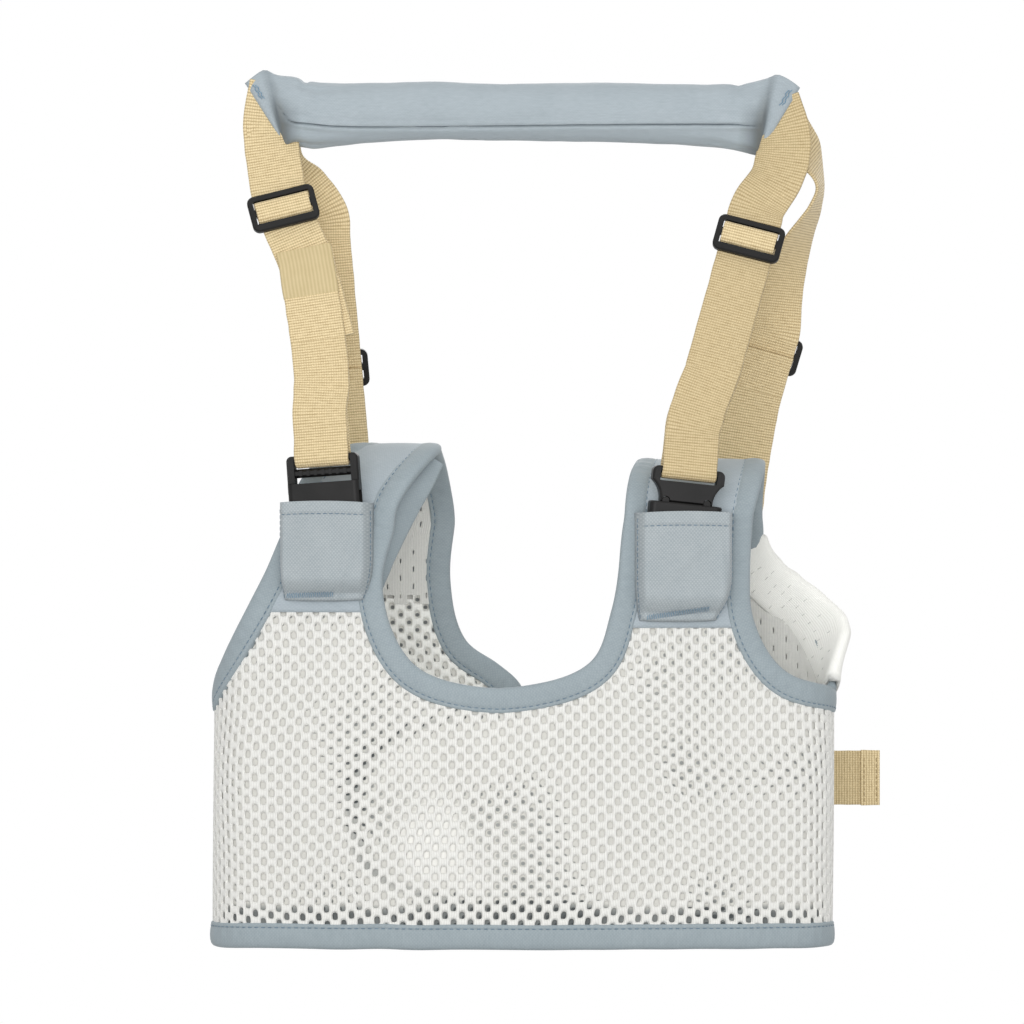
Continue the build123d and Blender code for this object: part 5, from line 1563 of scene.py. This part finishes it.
class HARNESS_OT_belt(bpy.types.Operator):
    """Lays the back belt, its free tail, the buckle tabs and the ring tabs"""

    bl_idname = "harness.belt"
    bl_label = "Belt and tabs"

    def execute(self, context):
        place = buckle_frame("belt_buckle")
        level = np.array([0, 0, 1.0])
        x, y, z = place[0]
        tail_y = y + LAYER / 2 - 2.0
        left_end, right_end = x + SOCKET_BAR - 20, x + PLUG_BAR + 20

        def sewn(x):
            spot, _, _, _ = wall_frame(x, z, 0, 0.3 + WEB_THICK / 2 + 0.5, False)
            return spot

        turned = from_vest(round_bar(place, SOCKET_BAR, -1)[0])
        left = [sewn(left_end - 42), sewn(left_end - 30), sewn(left_end - 14), *turned]
        left += [sewn(left_end - 11) + [0, LAYER, 0]]
        ribbon("belt_webbing_left", left, [level] * len(left), stands_for=["belt_webbing_left"])
        turned = from_vest(round_bar(place, PLUG_BAR, 1)[0])
        right = [sewn(right_end + 44), sewn(right_end + 30), sewn(right_end + 16), *turned]
        right += [on_tail(x, tail_y, z) for x in (right_end + 30, right_end + 60, 130, 150, 164)]
        made = ribbon(
            "belt_webbing_right", right, [level] * len(right), body=None, stands_for=["belt_webbing_right"]
        )
        sew_tail_hem(tail_y, z)
        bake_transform(made)
        # Painted shade: the belt's right run and free tail are darkened as they lie in shade at the back.
        mark(made, "fold", 0.15)
        for name, bar, away, reach in (
            ("left_buckle", PLUG_BAR, 1, 8.4),
            ("right_buckle", SOCKET_BAR, -1, 10.5),
        ):
            sew_tab(f"{name}_tab", buckle_frame(name), bar, away, 5.05, reach, [f"{name}_tab"])
        for n, ring in enumerate(RINGS):
            place = wall_frame(*ring, RING_STAND_OFF, False)
            sew_tab(f"back_ring_tab_{n}", place, -RING_BAR, -1, 4.3, 20, ["back_ring_tabs"])
        return {"FINISHED"}


def from_vest(turned):
    """Places round a bar, starting on the side that lies on the vest."""
    return turned[::-1] if turned[0][1] > turned[-1][1] else turned


def on_tail(x, y, z):
    """A place on the belt's free tail, which waves a little."""
    return np.array([x, y + 0.6 * math.sin(x / 19), z])


def sew_tail_hem(y, z):
    """The free tail's end, folded over on both faces and sewn down."""
    for side, face in (("front", -1), ("back", 1)):
        fold = [on_tail(x, y, z) + [0, face * 1.2, 0] for x in (155.5, 158, 161, 164.2)]
        across = [(-0.05, 0, 1.0)] * len(fold)
        ribbon(f"belt_tail_hem_{side}", fold, across, thick=1.2, width=WEB + 0.4)
        for n, x in enumerate((157.0, 162.6)):
            line = np.array([on_tail(x, y, z) + [0, face * 1.85, h] for h in np.linspace(-11.5, 11.5, 12)])
            outs = np.broadcast_to([0, float(face), 0], line.shape)
            stitches(f"belt_tail_stitches_{n}_{side}", line, outs, 2.6, finish="tan_thread", slot="webbing")


def sew_tab(name, place, bar_z, away, seat, reach, stands_for):
    """Folded webbing round a bar, its two layers sewn together against the vest."""
    spot, across, inwards, up = place
    inner, outer = seat - WEB_THICK / 2, seat - WEB_THICK * 1.5 - 0.1
    path = [(outer, bar_z + away * reach), (outer, bar_z + away * (reach - 1.8)), *half_turn(bar_z, away)]
    path += [(inner, bar_z + away * (reach - 1.8)), (inner, bar_z + away * reach)]
    points = np.array([spot + inwards * y + up * z for y, z in path])
    ribbon(name, points, [across] * len(points), step=0.8, stands_for=stands_for)


# Stage and panel -----------------------------------------------------------------------------------------


def backdrop_material():
    """Seamless paper: plain white to the camera, a soft pale grey to everything else."""
    made = bpy.data.materials.new("seamless_paper")
    made.use_nodes = True
    tree = made.node_tree
    tree.nodes.clear()
    paper = node(tree, "BsdfDiffuse", {"Color": linear("#dcdcdc")})
    white = node(tree, "Emission", {"Color": (1, 1, 1, 1), "Strength": 1.0})
    mixed = node(tree, "MixShader", {0: white_rays(tree), 1: paper, 2: white})
    node(tree, "OutputMaterial", {"Surface": mixed})
    return made


def white_rays(tree):
    """1 for rays that show the background: the camera's, mirrored and transmitted ones."""
    path = node(tree, "LightPath")
    seen = path.outputs["Is Camera Ray"]
    for ray in ("Is Glossy Ray", "Is Transmission Ray"):
        seen = node(tree, "Math", {0: seen, 1: path.outputs[ray]}, operation="MAXIMUM")
    return seen


MIDDLE_Z = -0.19  # height, in metres, of the middle of the harness, at which the lamps aim


class HARNESS_OT_stage(bpy.types.Operator):
    """Sets the floor, the studio light and the camera"""

    bl_idname = "harness.stage"
    bl_label = "Stage"

    def execute(self, context):
        scene = context.scene
        floor = bpy.data.meshes.new("floor")
        reach, level = 3.0, CAD_BOX[0][2] - 0.03
        corners = [(reach * x, reach * y, level) for x, y in ((-1, -1), (1, -1), (1, 1), (-1, 1))]
        floor.from_pydata(corners, [], [(0, 1, 2, 3)])
        made = bpy.data.objects.new("floor", floor)
        scene.collection.objects.link(made)
        floor.materials.append(backdrop_material())
        world = bpy.data.worlds.new("studio")
        scene.world = world
        world.use_nodes = True
        tree = world.node_tree
        tree.nodes.clear()
        soft = node(tree, "Background", {"Color": (1, 1, 1, 1), "Strength": 0.6})
        white = node(tree, "Background", {"Color": (1, 1, 1, 1), "Strength": 1.0})
        mixed = node(tree, "MixShader", {0: white_rays(tree), 1: soft, 2: white})
        node(tree, "OutputWorld", {"Surface": mixed})
        for name, spot, width, power in (
            ("key", (-0.55, -1.8, 0.3), 0.9, 8.5),
            ("front", (0.2, -2.0, 0.05), 0.8, 11.0),
            ("fill", (0.9, -1.5, 0.0), 1.2, 2.0),
            ("top", (-0.1, -0.1, 1.2), 1.2, 3.0),
            ("back", (0.3, 1.4, 0.5), 1.2, 9.0),
        ):
            lamp = bpy.data.lights.new(name, "AREA")
            lamp.size, lamp.energy = width, power
            lit = bpy.data.objects.new(name, lamp)
            scene.collection.objects.link(lit)
            lit.location = spot
            aim = Vector((0, 0, MIDDLE_Z)) - Vector(spot)
            lit.rotation_euler = aim.to_track_quat("-Z", "Y").to_euler()
        view = bpy.data.cameras.new("camera")
        distance, shown = 4.0, 0.4608
        view.sensor_width = 36.0
        view.lens = 36.0 * distance / shown
        camera = bpy.data.objects.new("camera", view)
        scene.collection.objects.link(camera)
        camera.location = (-0.00495, -0.042 - distance, -0.1818)
        camera.rotation_euler = (math.radians(90), 0, 0)
        scene.camera = camera
        scene.view_settings.view_transform = "Standard"
        return {"FINISHED"}


OPERATORS = [
    HARNESS_OT_finishes,
    HARNESS_OT_mesh_panels,
    HARNESS_OT_shoulders,
    HARNESS_OT_bindings,
    HARNESS_OT_chest_pad,
    HARNESS_OT_pockets,
    HARNESS_OT_handle,
    HARNESS_OT_straps,
    HARNESS_OT_belt,
    HARNESS_OT_stage,
]


class HARNESS_PT_panel(bpy.types.Panel):
    """Lists the harness's pieces and their sizes"""

    bl_label = "Walking harness"
    bl_idname = "HARNESS_PT_panel"
    bl_space_type = "VIEW_3D"
    bl_region_type = "UI"
    bl_category = "Harness"

    def draw(self, context):
        for group in settings():
            for name in group.__annotations__:
                self.layout.prop(group, name)
        for operator in OPERATORS:
            self.layout.operator(operator.bl_idname)


CLASSES = [HarnessClothSizes, HarnessHandleSizes, HarnessFinishes, *OPERATORS, HARNESS_PT_panel]


def register():
    for cls in CLASSES:
        bpy.utils.register_class(cls)
    bpy.types.Scene.harness_cloth = bpy.props.PointerProperty(type=HarnessClothSizes)
    bpy.types.Scene.harness_handle = bpy.props.PointerProperty(type=HarnessHandleSizes)
    bpy.types.Scene.harness_finishes = bpy.props.PointerProperty(type=HarnessFinishes)


def unregister():
    del bpy.types.Scene.harness_cloth, bpy.types.Scene.harness_handle, bpy.types.Scene.harness_finishes
    for cls in reversed(CLASSES):
        bpy.utils.unregister_class(cls)


def main():
    register()
    bpy.ops.object.select_all(action="DESELECT")
    for operator in OPERATORS:
        group, name = operator.bl_idname.split(".")
        getattr(getattr(bpy.ops, group), name)()


if __name__ == "__main__":
    main()
